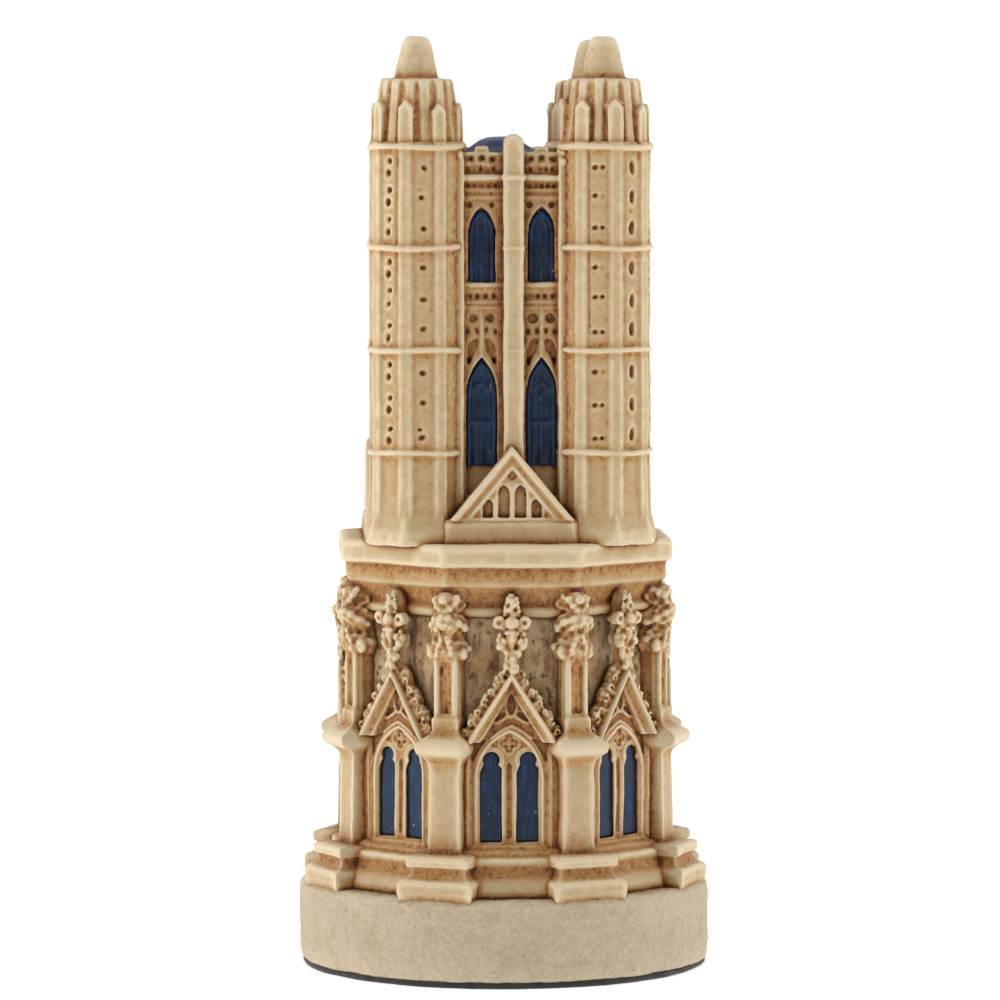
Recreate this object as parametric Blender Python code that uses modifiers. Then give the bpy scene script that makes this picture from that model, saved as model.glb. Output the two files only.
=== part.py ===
"""A souvenir figure of a Gothic church tower: a square tower with four round corner turrets, on an
eight-sided storey of gabled windows and piers, on a round drum with a felt pad.

+Z is up, the figure stands on z = 0, its axis is the Z axis and its front faces -Y. Every piece of
one front is modelled facing -Y and then turned about the axis for the other fronts.
"""

import math

import bmesh
import bpy
from mathutils import Matrix, Vector

# Driving dimension: the diameter of the drum. Every other size is a multiple of one unit, U.
BASE_DIAMETER = 0.045
U = BASE_DIAMETER / 45
GAP = 0.12 * U
WELD = 1e-7

# Fronts and corners of the eight-sided storey, and of the square tower
SIDES = 8
SIDE_TURN = 2 * math.pi / SIDES
QUARTER = math.pi / 2

# Heights of the base
FELT_TOP = 0.55 * U
DRUM_TOP = 9.4 * U
COURSE_TOP = 14.55 * U
CORNICE_FOOT = 39.3 * U
SLAB_TOP = 47.15 * U
PODIUM_TOP = 49.35 * U

# Lower storey, measured outward from the axis
WALL_OUT = 15.5 * U
GLASS_OUT = 16.0 * U
FRAME_OUT = 17.0 * U
JAMB_OUT = 17.45 * U
RAKE_OUT = 18.2 * U
WINDOW_HALF = 4.1 * U
WINDOW_FOOT = 14.8 * U
WINDOW_SPRING = 21.9 * U
WINDOW_APEX = 27.4 * U
LIGHT_X = 1.95 * U
LIGHT_HALF = 1.1 * U
LIGHT_FOOT = 15.4 * U
LIGHT_SPRING = 23.55 * U
GABLE_FOOT = 26.2 * U
GABLE_APEX = 33.2 * U
GABLE_HALF = 4.7 * U

# Tower
TURRET_AT = 10.06 * U
TURRET_ROOT = 4.65 * U
TURRET_RIB = 5.2 * U
TURRET_BAND = 5.75 * U
TURRET_TWIST = math.radians(11.3)
TURRET_FLAT = 4.85 * U
TURRET_TOP = 90.05 * U
BAND_HEIGHTS = (56.77 * U, 67.8 * U, 78.74 * U, 89.55 * U)
CORE_HALF = 10.5 * U
PANE_OUT = 11.0 * U
BAY_OUT = 11.6 * U
BUTTRESS_OUT = 13.2 * U
FACE_HALF = 5.05 * U
LANCET_X = 3.15 * U
STRING_HEIGHTS = (52.0 * U, 73.6 * U, 85.3 * U)
PARAPET_TOP = 88.9 * U
BUTTRESS_TOP = 90.6 * U
ROOF_FOOT = 88.0 * U
ROOF_PEAK = 90.6 * U
CROWN_TOP = 96.94 * U
CAP_TOP = 101.46 * U

CREAM = (0.72, 0.58, 0.38)
TAN = (0.58, 0.43, 0.25)
STAINED = (0.36, 0.30, 0.22)
DRUM_CREAM = (0.62, 0.53, 0.38)
WINDOW_BLUE = (0.02, 0.035, 0.11)
ROOF_BLUE = (0.05, 0.09, 0.30)
FELT_GREY = (0.045, 0.045, 0.045)


def clear_scene():
    for item in list(bpy.data.objects):
        bpy.data.objects.remove(item, do_unlink=True)


def new_collection(name):
    made = bpy.data.collections.new(name)
    bpy.context.scene.collection.children.link(made)
    return made


def principled(name, colour, roughness):
    made = bpy.data.materials.new(name)
    made.use_nodes = True
    shader = made.node_tree.nodes["Principled BSDF"]
    shader.inputs["Base Color"].default_value = (*colour, 1)
    shader.inputs["Roughness"].default_value = roughness
    shader.inputs["Metallic"].default_value = 0.0
    made.diffuse_color = (*colour, 1)
    return made


clear_scene()
FIGURE = new_collection("church_tower_figure")
TOOLS = new_collection("tools")


# ---- working shapes: each is an object in TOOLS until it is placed or used up ----


def work_object(data, name="work"):
    made = bpy.data.objects.new(name, data)
    made.hide_render = True
    made.display_type = "WIRE"
    TOOLS.objects.link(made)
    return made


def from_bmesh(shape):
    mesh = bpy.data.meshes.new("work")
    shape.to_mesh(mesh)
    shape.free()
    return work_object(mesh)


def settled(item):
    """The item with its modifiers and its transform worked into a plain mesh, welded."""
    bpy.context.view_layer.update()
    seen = item.evaluated_get(bpy.context.evaluated_depsgraph_get())
    mesh = bpy.data.meshes.new_from_object(seen)
    mesh.transform(item.matrix_world)
    shape = bmesh.new()
    shape.from_mesh(mesh)
    bmesh.ops.remove_doubles(shape, verts=shape.verts, dist=WELD)
    bpy.data.meshes.remove(mesh)
    bpy.data.objects.remove(item)
    return from_bmesh(shape)


def boolean(base, others, operation):
    """base with each of the others joined to it or cut from it; its flat areas are made whole again."""
    for other in others:
        step = base.modifiers.new(operation.lower(), "BOOLEAN")
        step.operation = operation
        step.solver = "EXACT"
        step.object = other
    made = settled(base)
    for other in others:
        bpy.data.objects.remove(other)
    shape = bmesh.new()
    shape.from_mesh(made.data)
    bmesh.ops.dissolve_limit(
        shape, angle_limit=math.radians(0.05), verts=shape.verts, edges=shape.edges
    )
    shape.to_mesh(made.data)
    shape.free()
    return made


def joined(base, *others):
    return boolean(base, others, "UNION")


def cut(base, *others):
    return boolean(base, others, "DIFFERENCE")


def turned_about_axis(item, angle, centre=(0, 0)):
    """The item turned about a vertical line through centre."""
    place = Matrix.Translation((*centre, 0))
    item.data.transform(place @ Matrix.Rotation(angle, 4, "Z") @ place.inverted())
    return item


def moved(item, x=0, y=0):
    item.data.transform(Matrix.Translation((x, y, 0)))
    return item


def block(half, out_range, z_range, x=0):
    """A box, half its width either side of x, between two distances in front of the axis."""
    near, far = out_range
    low, high = z_range
    shape = bmesh.new()
    place = Matrix.Translation((x, -(near + far) / 2, (low + high) / 2))
    size = Matrix.Diagonal((2 * half, far - near, high - low, 1))
    bmesh.ops.create_cube(shape, size=1, matrix=place @ size)
    return from_bmesh(shape)


def ball(centre, radii, around=7, rings=4):
    """An egg-shaped blob; centre is (x, out, z)."""
    x, out, z = centre
    shape = bmesh.new()
    place = Matrix.Translation((x, -out, z)) @ Matrix.Diagonal((*radii, 1))
    bmesh.ops.create_uvsphere(shape, u_segments=around, v_segments=rings, radius=1, matrix=place)
    return from_bmesh(shape)


def berry(centre, radius):
    x, out, z = centre
    shape = bmesh.new()
    place = Matrix.Translation((x, -out, z))
    bmesh.ops.create_icosphere(shape, subdivisions=1, radius=radius, matrix=place)
    return from_bmesh(shape)


def turned(profile, steps, centre=(0, 0)):
    """A turned solid. The profile is (radius, z), from the axis at the top to the axis at the foot."""
    shape = bmesh.new()
    points = [shape.verts.new((radius, 0, z)) for radius, z in profile]
    for above, below in zip(points, points[1:]):
        shape.edges.new((above, below))
    item = from_bmesh(shape)
    screw = item.modifiers.new("turn", "SCREW")
    screw.axis = "Z"
    screw.steps = steps
    screw.render_steps = steps
    screw.use_merge_vertices = True
    screw.merge_threshold = 1e-6
    item.location = (*centre, 0)
    return settled(item)


def cast(outlines, depth, matrix):
    """A flat outline with holes, given thickness; closed outlines of (x, y) points."""
    curve = bpy.data.curves.new("outline", "CURVE")
    curve.dimensions = "2D"
    curve.fill_mode = "BOTH"
    curve.extrude = depth / 2
    for outline in outlines:
        spline = curve.splines.new("POLY")
        spline.points.add(len(outline) - 1)
        for point, (x, y) in zip(spline.points, outline):
            point.co = (x, y, 0, 1)
        spline.use_cyclic_u = True
    item = work_object(curve)
    item.matrix_world = matrix
    return settled(item)


def panel(out_range, *outlines):
    """An upright slab facing -Y; its outlines are (x, z), the first the edge and the others holes."""
    near, far = out_range
    upright = Matrix.Translation((0, -(near + far) / 2, 0)) @ Matrix.Rotation(QUARTER, 4, "X")
    return cast(outlines, far - near, upright)


def plan(z_range, outline):
    """A level slab; its outline is (x, y)."""
    low, high = z_range
    return cast([outline], high - low, Matrix.Translation((0, 0, (low + high) / 2)))


def stack(sections, back):
    """A loft through level rectangles with a common back plane. Each is (z, half width, out)."""
    shape = bmesh.new()
    loops = []
    for z, half, out in sections:
        corners = [(-half, -back), (-half, -out), (half, -out), (half, -back)]
        loops.append([shape.verts.new((x, y, z)) for x, y in corners])
    shape.faces.new(reversed(loops[0]))
    shape.faces.new(loops[-1])
    for low, high in zip(loops, loops[1:]):
        for side in range(4):
            after = (side + 1) % 4
            shape.faces.new((low[side], low[after], high[after], high[side]))
    bmesh.ops.recalc_face_normals(shape, faces=shape.faces)
    return from_bmesh(shape)


# ---- outlines ----


def arc(centre, radius, start, end, steps):
    """Points on an arc, its angles in degrees."""
    angles = [math.radians(start + (end - start) * step / steps) for step in range(steps + 1)]
    return [(centre[0] + radius * math.cos(a), centre[1] + radius * math.sin(a)) for a in angles]


def pointed_head(x, half, spring, apex, steps):
    """The two arcs of a pointed arch, from its right springing over the apex to the left one."""
    rise = apex - spring
    radius = (half**2 + rise**2) / (2 * half)
    sweep = math.degrees(math.asin(rise / radius))
    right = arc((x + half - radius, spring), radius, 0, sweep, steps)
    left = arc((x - half + radius, spring), radius, 180 - sweep, 180, steps)
    return right + left[1:]


def pointed_opening(x, half, foot, spring, apex, steps=3):
    return [(x - half, foot), (x + half, foot)] + pointed_head(x, half, spring, apex, steps)


def foils(x, z, reach, count=4, steps=2):
    """A ring of round lobes, as in a pierced quatrefoil."""
    points = []
    for lobe in range(count):
        toward = 360 * lobe / count
        a = math.radians(toward)
        centre = (x + reach * math.cos(a), z + reach * math.sin(a))
        points += arc(centre, reach * 0.8, toward - 100, toward + 100, steps)
    return points


def apothem(flat):
    """Corner radius of an octagon whose flats are this far from its axis."""
    return flat / math.cos(SIDE_TURN / 2)


def octagon(profile):
    """An eight-sided solid with its flats to the fronts; the profile is (flat distance, z)."""
    item = turned([(apothem(flat), z) for flat, z in profile], SIDES)
    return turned_about_axis(item, SIDE_TURN / 2)


def around_turrets(make):
    """One shape from make(x, y) at each turret."""
    return [make(x, y) for x in (-TURRET_AT, TURRET_AT) for y in (-TURRET_AT, TURRET_AT)]


def turret_clearance(radius, z_range):
    low, high = z_range
    return lambda x, y: turned([(0, high), (radius, high), (radius, low), (0, low)], 16, (x, y))


# ---- placing ----


def place(name, item, material, angle=0.0, smooth=None):
    """The finished sub-part, turned to its front; copies share the item's mesh."""
    mesh = item.data
    if not mesh.materials:
        mesh.materials.append(material)
        if smooth is not None:
            mesh.shade_smooth()
            mesh.set_sharp_from_angle(angle=math.radians(smooth))
    made = bpy.data.objects.new(name, mesh)
    made.rotation_euler.z = angle
    FIGURE.objects.link(made)


def place_around(name, item, material, count, first_turn=0.0):
    """Copies of the item at equal turns, numbered anticlockwise from above."""
    for number in range(count):
        angle = first_turn + 2 * math.pi * number / count
        place(f"{name}_{number + 1}", item, material, angle)
    bpy.data.objects.remove(item)


# ---- the base ----


def felt_pad():
    radius = 22.15 * U
    edge = [(0, FELT_TOP), (radius, FELT_TOP), (radius, 0), (0, 0)]
    place("felt_pad", turned(edge, 48), principled("felt", FELT_GREY, 0.95), smooth=40)


def base_drum():
    foot = FELT_TOP + 0.05 * U
    swell = BASE_DIAMETER / 2
    edge = [
        (0, DRUM_TOP),
        (swell - 0.9 * U, DRUM_TOP),
        (swell - 0.2 * U, DRUM_TOP - 0.5 * U),
        (swell, DRUM_TOP - 3 * U),
        (swell, foot + 1.5 * U),
        (swell - 0.35 * U, foot),
        (0, foot),
    ]
    place("base_drum", turned(edge, 48), principled("drum_resin", DRUM_CREAM, 0.85), smooth=40)


# ---- the eight-sided storey ----

# Sections of a pier from its foot to the top of its pinnacle shaft: z, half width, out
PIER_BACK = WALL_OUT + GAP
PIER_SECTIONS = [
    (z * U, half * U, out * U)
    for z, half, out in (
        (9.5, 4.0, 21.8),
        (9.9, 4.2, 22.05),
        (11.0, 4.2, 22.05),
        (11.9, 3.1, 21.0),
        (12.5, 3.1, 20.9),
        (12.9, 3.5, 21.3),
        (13.6, 3.5, 21.3),
        (14.1, 1.9, 19.1),
        (23.7, 1.85, 18.9),
        (24.5, 2.3, 19.5),
        (25.0, 3.0, 21.1),
        (25.8, 3.0, 21.1),
        (27.1, 2.2, 19.6),
        (28.7, 2.1, 19.4),
        (28.9, 1.45, 18.7),
        (34.9, 1.45, 18.7),
    )
]
COURSE_POCKET_HALF = 4.3 * U


def plinth_course():
    ring = octagon(
        [
            (0, COURSE_TOP),
            (17.6 * U, COURSE_TOP),
            (17.9 * U, 13.6 * U),
            (18.6 * U, 13.3 * U),
            (18.6 * U, 12.7 * U),
            (18.0 * U, 12.4 * U),
            (18.4 * U, 11.4 * U),
            (19.7 * U, 11.0 * U),
            (20.0 * U, 9.9 * U),
            (19.8 * U, DRUM_TOP + GAP),
            (0, DRUM_TOP + GAP),
        ]
    )
    pockets = []
    for corner in range(SIDES):
        pocket = block(COURSE_POCKET_HALF, (WALL_OUT, BASE_DIAMETER), (9 * U, 15 * U))
        pockets.append(turned_about_axis(pocket, (corner + 0.5) * SIDE_TURN))
    place("plinth_course", cut(ring, *pockets), principled("course_resin", TAN, 0.7))


def lower_core():
    """The wall is cut back behind each pier, which makes it sixteen-sided."""
    radius = WALL_OUT / math.cos(SIDE_TURN / 4)
    low = COURSE_TOP + GAP
    high = CORNICE_FOOT - GAP
    wall = turned([(0, high), (radius, high), (radius, low), (0, low)], 2 * SIDES)
    turned_about_axis(wall, SIDE_TURN / 4)
    place("lower_core", wall, principled("stained_wall", STAINED, 0.9))


def leaf_capital():
    """The clump of curled leaves on a pier's pinnacle."""
    leaves = [
        ball((0, 18.3 * U, 37.0 * U), (1.3 * U, 1.5 * U, 2.3 * U)),
        ball((0, 19.4 * U, 39.9 * U), (1.1 * U, 1.0 * U, 2.1 * U)),
    ]
    for side in (-1, 1):
        leaves.append(berry((side * 1.5 * U, 18.6 * U, 35.9 * U), 1.2 * U))
        leaves.append(berry((side * 1.4 * U, 19.4 * U, 38.8 * U), 1.15 * U))
    return leaves


def piers():
    shaft = stack(PIER_SECTIONS, PIER_BACK)
    flute = block(0.4 * U, (18.1 * U, 19.5 * U), (29.4 * U, 34.2 * U))
    pier = cut(joined(shaft, *leaf_capital()), flute)
    place_around("pier", pier, principled("pier_resin", CREAM, 0.65), SIDES, SIDE_TURN / 2)


def light_outline(x):
    """A lower light: straight sides, a pinched neck and a round top."""
    neck = LIGHT_SPRING - 0.75 * U
    lobe = arc((x, LIGHT_SPRING), LIGHT_HALF * 0.95, -20, 200, 4)
    left, right = x - LIGHT_HALF, x + LIGHT_HALF
    return [(left, LIGHT_FOOT), (right, LIGHT_FOOT), (right, neck), *lobe, (left, neck)]


def window_frames():
    edge = pointed_opening(0, WINDOW_HALF, WINDOW_FOOT, WINDOW_SPRING, WINDOW_APEX, 4)
    lights = [light_outline(-LIGHT_X), light_outline(LIGHT_X)]
    tracery = panel((GLASS_OUT + GAP, FRAME_OUT), edge, *lights, foils(0, 25.35 * U, 0.5 * U))
    inset = 0.55 * U
    hollow = pointed_opening(
        0, WINDOW_HALF - inset, WINDOW_FOOT + 0.4 * U, WINDOW_SPRING, WINDOW_APEX - inset, 4
    )
    moulding = panel((FRAME_OUT - 0.2 * U, JAMB_OUT), edge, hollow)
    colour = principled("window_resin", TAN, 0.7)
    place_around("window_frame", joined(tracery, moulding), colour, SIDES)


def window_glass():
    half = LIGHT_X + LIGHT_HALF + 0.1 * U
    foot = LIGHT_FOOT - 0.1 * U
    heads = []
    for x in (LIGHT_X, -LIGHT_X):
        heads += arc((x, LIGHT_SPRING), half - LIGHT_X, 0, 180, 4)
    pane = panel((WALL_OUT + GAP, GLASS_OUT), [(-half, foot), (half, foot)] + heads)
    place_around("window_glass", pane, principled("window_paint", WINDOW_BLUE, 0.3), SIDES)


def finial():
    """The leaf finial of a gable: a stem, two low lobes, a row of three balls and a bud."""
    blobs = [
        ball((0, 17.5 * U, 34.3 * U), (0.75 * U, 0.75 * U, 2.1 * U)),
        ball((0, 17.7 * U, 37.3 * U), (0.85 * U, 0.8 * U, 2.0 * U)),
        ball((0, 18.2 * U, 39.8 * U), (0.8 * U, 0.8 * U, 2.0 * U)),
    ]
    for side in (-1, 1):
        blobs.append(berry((side * 1.2 * U, 17.6 * U, 36.1 * U), 0.85 * U))
        blobs.append(berry((side * 1.2 * U, 18.2 * U, 39.0 * U), 0.9 * U))
    return blobs


def crest():
    """Leaf knobs that climb the back of both rakes, as one slab with a knobbed edge."""
    knobs = 4
    span = Vector((-GABLE_HALF, GABLE_APEX - GABLE_FOOT))
    away = Vector((span.y, -span.x)).normalized()
    rake = []
    for knob in range(knobs):
        for share, lift in ((0.0, 0.1), (0.25, 1.3), (0.75, 1.3)):
            along = Vector((GABLE_HALF, GABLE_FOOT)) + span * (knob + share) / knobs
            rake.append(tuple(along + away * lift * U))
    mirror = [(-x, z) for x, z in reversed(rake)]
    under = [(-GABLE_HALF + U, GABLE_FOOT), (0, GABLE_APEX - U), (GABLE_HALF - U, GABLE_FOOT)]
    return panel((PIER_BACK + U, RAKE_OUT - 0.7 * U), rake + mirror + under)


def pier_clearances():
    """Room for the caps and pinnacles of the two piers beside a front."""
    sections = [(z, half + GAP, out + GAP) for z, half, out in PIER_SECTIONS if z > 23 * U]
    return [
        turned_about_axis(stack(sections, WALL_OUT - U), side * SIDE_TURN / 2) for side in (-1, 1)
    ]


def gables():
    outer = [(GABLE_HALF, GABLE_FOOT), (0, GABLE_APEX), (-GABLE_HALF, GABLE_FOOT)]
    rake_half = GABLE_HALF - 0.95 * U
    inner = [(-rake_half, GABLE_FOOT), (0, GABLE_APEX - 1.35 * U), (rake_half, GABLE_FOOT)]
    rakes = panel((PIER_BACK, RAKE_OUT), outer + inner)
    clear = WINDOW_HALF + GAP
    arch = pointed_head(0, clear, WINDOW_SPRING, WINDOW_APEX + 2 * GAP, 8)
    over = [point for point in arch if point[1] > GABLE_FOOT]
    reach = min(x for x, z in arch if x > 0 and z <= GABLE_FOOT)
    spandrel_half = GABLE_HALF - 0.4 * U
    shield = [(-spandrel_half, GABLE_FOOT), (-reach, GABLE_FOOT), *reversed(over)]
    shield += [(reach, GABLE_FOOT), (spandrel_half, GABLE_FOOT), (0, GABLE_APEX - 0.6 * U)]
    eye = foils(0, 29.3 * U, 0.4 * U, 3)
    spandrel = panel((PIER_BACK, FRAME_OUT), shield, eye)
    gable = cut(joined(rakes, spandrel, crest(), *finial()), *pier_clearances())
    place_around("gable", gable, principled("gable_resin", CREAM, 0.65), SIDES)


def cornice():
    tiers = octagon(
        [
            (0, SLAB_TOP),
            (17.75 * U, SLAB_TOP),
            (18.0 * U, 46.9 * U),
            (18.0 * U, 44.6 * U),
            (17.2 * U, 44.5 * U),
            (17.2 * U, 42.75 * U),
            (16.7 * U, 42.5 * U),
            (15.9 * U, 40.6 * U),
            (16.3 * U, 40.3 * U),
            (16.3 * U, 39.6 * U),
            (16.0 * U, CORNICE_FOOT),
            (0, CORNICE_FOOT),
        ]
    )
    place("cornice", tiers, principled("cornice_resin", CREAM, 0.65))


# ---- the tower ----


def tower_podium():
    near, far = 6.7 * U, 15.5 * U
    outline = [(near, -far), (far, -near), (far, near), (near, far)]
    outline += [(-x, -y) for x, y in outline]
    slab = plan((SLAB_TOP + GAP, PODIUM_TOP), outline)
    clearance = turret_clearance(6.1 * U, (SLAB_TOP, PODIUM_TOP + U))
    podium = cut(slab, *around_turrets(clearance))
    place("tower_podium", podium, principled("podium_resin", CREAM, 0.65))


def core_outline():
    """The tower's plan between its turrets, one arm to each front."""
    arm, shoulder = FACE_HALF, 6.9 * U
    corner = [(arm, -CORE_HALF), (arm, -shoulder), (shoulder, -arm), (CORE_HALF, -arm)]
    outline = []
    for quarter in range(4):
        turn = Matrix.Rotation(quarter * QUARTER, 2)
        outline += [tuple(turn @ Vector(point)) for point in corner]
    return outline


def tower_core():
    core = plan((PODIUM_TOP + GAP, ROOF_FOOT - GAP), core_outline())
    place("tower_core", core, principled("tower_resin", TAN, 0.75))


def roof():
    half = 10.3 * U
    shape = bmesh.new()
    middle = Matrix.Translation((0, 0, (ROOF_FOOT + ROOF_PEAK) / 2))
    bmesh.ops.create_cone(
        shape,
        cap_ends=True,
        segments=4,
        radius1=half * math.sqrt(2),
        radius2=1.5 * U,
        depth=ROOF_PEAK - ROOF_FOOT,
        matrix=middle @ Matrix.Rotation(QUARTER / 2, 4, "Z"),
    )
    clearance = turret_clearance(5.8 * U, (ROOF_FOOT - U, ROOF_PEAK + U))
    hipped = cut(from_bmesh(shape), *around_turrets(clearance))
    place("roof", hipped, principled("roof_paint", ROOF_BLUE, 0.4))


def parapet_edge():
    """Top edge of a face, right to left: a battlement over each bay."""
    notch, low = 1.0 * U, PARAPET_TOP - 1.0 * U
    points = []
    for x in (LANCET_X, -LANCET_X):
        points += [(x + notch, low), (x + notch, PARAPET_TOP), (x - notch, PARAPET_TOP), (x - notch, low)]
    return points


def bay_holes(x):
    """Openings in one bay: two lancets with a pair of tracery circles between them."""
    return [
        pointed_opening(x, 1.5 * U, 55.2 * U, 63.2 * U, 66.85 * U),
        pointed_opening(x, 1.35 * U, 74.9 * U, 80.6 * U, 83.1 * U),
        foils(x - 0.75 * U, 71.2 * U, 0.33 * U),
        foils(x + 0.75 * U, 71.2 * U, 0.33 * U),
    ]


def tower_faces():
    low = PODIUM_TOP + GAP
    edge = [(-FACE_HALF, low), (FACE_HALF, low), (FACE_HALF, PARAPET_TOP - U)]
    edge += parapet_edge() + [(-FACE_HALF, PARAPET_TOP - U)]
    bays = panel((PANE_OUT + GAP, BAY_OUT), edge, *bay_holes(-LANCET_X), *bay_holes(LANCET_X))
    buttress_half = 1.2 * U
    head = arc((0, BUTTRESS_TOP - buttress_half), buttress_half, 0, 180, 6)
    foot = low + GAP
    buttress = panel(
        (PANE_OUT + 2 * GAP, BUTTRESS_OUT), [(-buttress_half, foot), (buttress_half, foot), *head]
    )
    courses = []
    for height in STRING_HEIGHTS:
        span = (height - 0.35 * U, height + 0.35 * U)
        courses.append(block(FACE_HALF - 2 * GAP, (BAY_OUT - 0.25 * U, BAY_OUT + 0.5 * U), span))
    for side in (-1, 1):
        x = side * (FACE_HALF - 0.26 * U)
        courses.append(block(0.2 * U, (BAY_OUT - 0.3 * U, 12.6 * U), (foot, 86.1 * U), x))
    face = joined(bays, buttress, *courses)
    place_around("tower_face", face, principled("tower_face_resin", CREAM, 0.7), 4)


def tower_glass():
    half = FACE_HALF - 0.1 * U
    pane = block(half, (CORE_HALF + GAP, PANE_OUT), (54.6 * U, 83.6 * U))
    place_around("tower_glass", pane, principled("tower_window_paint", WINDOW_BLUE, 0.3), 4)


def pediments():
    near, far = BUTTRESS_OUT + 2 * GAP, 15.2 * U
    foot, half, apex = PODIUM_TOP + GAP, 7.1 * U, 57.3 * U
    thick = 1.5 * U
    outer = [(-half, foot), (half, foot), (0, apex)]
    back = panel((near, far - 0.6 * U), outer)
    field = [(-half + 3 * thick, foot + 0.8 * U), (half - 3 * thick, foot + 0.8 * U), (0, apex - 3.0 * U)]
    rakes = panel((near + 0.4 * U, far), outer, field)
    mullions = [
        block(0.3 * U, (far - U, far - 0.15 * U), (foot + 0.4 * U, foot + rise * U), x * U)
        for x, rise in ((-1.5, 2.9), (0, 4.7), (1.5, 2.9))
    ]
    clearance = turret_clearance(5.85 * U, (SLAB_TOP, 60 * U))
    front = cut(joined(back, rakes, *mullions), *around_turrets(clearance))
    place_around("pediment", front, principled("pediment_resin", CREAM, 0.65), 4)


def rib_outline():
    """Plan of a turret's shaft about its own axis: eight flat ribs with recessed panels between."""
    rib_half = 0.85 * U
    points = []
    for rib in range(SIDES):
        turn = Matrix.Rotation(rib * SIDE_TURN + TURRET_TWIST, 2)
        for radius, side in ((TURRET_ROOT, -1), (TURRET_RIB, -1), (TURRET_RIB, 1), (TURRET_ROOT, 1)):
            reach = math.sqrt(radius**2 - rib_half**2)
            points.append(tuple(turn @ Vector((reach, side * rib_half))))
    return points


def turret_shaft():
    """The turret nearest +X and -Y, with its two inner sides cut flat against the tower."""
    shaft = plan((SLAB_TOP + GAP, TURRET_TOP), rib_outline())
    skirt_top, skirt_low = 51.0 * U, SLAB_TOP + GAP
    skirt = turned(
        [(0, skirt_top), (5.0 * U, skirt_top), (5.9 * U, 48.6 * U), (5.9 * U, skirt_low), (0, skirt_low)],
        SIDES,
    )
    rings = [turned_about_axis(skirt, TURRET_TWIST)]
    for height in BAND_HEIGHTS:
        low, high = height - 0.45 * U, height + 0.45 * U
        band = turned([(0, high), (TURRET_BAND, high), (TURRET_BAND, low), (0, low)], SIDES)
        rings.append(turned_about_axis(band, TURRET_TWIST))
    shaft = moved(joined(shaft, *rings), TURRET_AT, -TURRET_AT)
    inner = TURRET_AT - TURRET_FLAT
    heights = (PODIUM_TOP - 3 * U, TURRET_TOP + U)
    side_flat = block(inner, (0, 25 * U), heights)
    back_flat = turned_about_axis(block(inner, (0, 25 * U), heights), QUARTER)
    return cut(shaft, side_flat, back_flat)


def mirrored(item):
    """A copy of the item mirrored left to right."""
    mesh = item.data.copy()
    mesh.transform(Matrix.Scale(-1, 4, (1, 0, 0)))
    mesh.flip_normals()
    return work_object(mesh)


def turrets():
    colour = principled("turret_resin", CREAM, 0.65)
    right = turret_shaft()
    left = mirrored(right)
    place("turret_1", left, colour)
    place("turret_2", right, colour)
    place("turret_3", left, colour, math.pi)
    place("turret_4", right, colour, math.pi)
    bpy.data.objects.remove(left)
    bpy.data.objects.remove(right)


def crown():
    """The fluted top of a turret: twelve flutes on a slightly tapering drum."""
    foot = TURRET_TOP + GAP
    shape = bmesh.new()
    bmesh.ops.create_cone(
        shape,
        cap_ends=True,
        segments=24,
        radius1=4.9 * U,
        radius2=4.1 * U,
        depth=CROWN_TOP - foot,
        matrix=Matrix.Translation((0, 0, (CROWN_TOP + foot) / 2)),
    )
    for vertex in shape.verts:
        step = round(math.atan2(vertex.co.y, vertex.co.x) / (2 * math.pi / 24))
        if step % 2:
            vertex.co.x *= 0.9
            vertex.co.y *= 0.9
    return from_bmesh(shape)


def pilaster(angle):
    """A pointed pilaster that stands on a rib and leans on the crown."""
    foot, shoulder, tip, half = TURRET_TOP + GAP, 93.6 * U, 94.6 * U, 0.8 * U
    outline = [(-half, foot), (half, foot), (half, shoulder), (0, tip), (-half, shoulder)]
    return turned_about_axis(panel((4.0 * U, TURRET_RIB), outline), angle)


def turret_caps():
    cone = turned(
        [
            (0, CAP_TOP),
            (0.8 * U, CAP_TOP - 0.1 * U),
            (1.35 * U, CAP_TOP - 0.5 * U),
            (2.1 * U, CAP_TOP - 2.6 * U),
            (2.42 * U, CROWN_TOP - 0.3 * U),
            (0, CROWN_TOP - 0.3 * U),
        ],
        12,
    )
    twist = TURRET_TWIST + QUARTER
    posts = [pilaster(twist + rib * SIDE_TURN) for rib in range(SIDES)]
    right = moved(joined(crown(), cone, *posts), TURRET_AT, -TURRET_AT)
    left = mirrored(right)
    colour = principled("crown_resin", CREAM, 0.65)
    place("turret_cap_1", left, colour)
    place("turret_cap_2", right, colour)
    place("turret_cap_3", left, colour, math.pi)
    place("turret_cap_4", right, colour, math.pi)
    bpy.data.objects.remove(left)
    bpy.data.objects.remove(right)


felt_pad()
base_drum()
plinth_course()
lower_core()
piers()
window_frames()
window_glass()
gables()
cornice()
tower_podium()
tower_core()
roof()
tower_faces()
tower_glass()
pediments()
turrets()
turret_caps()
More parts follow.
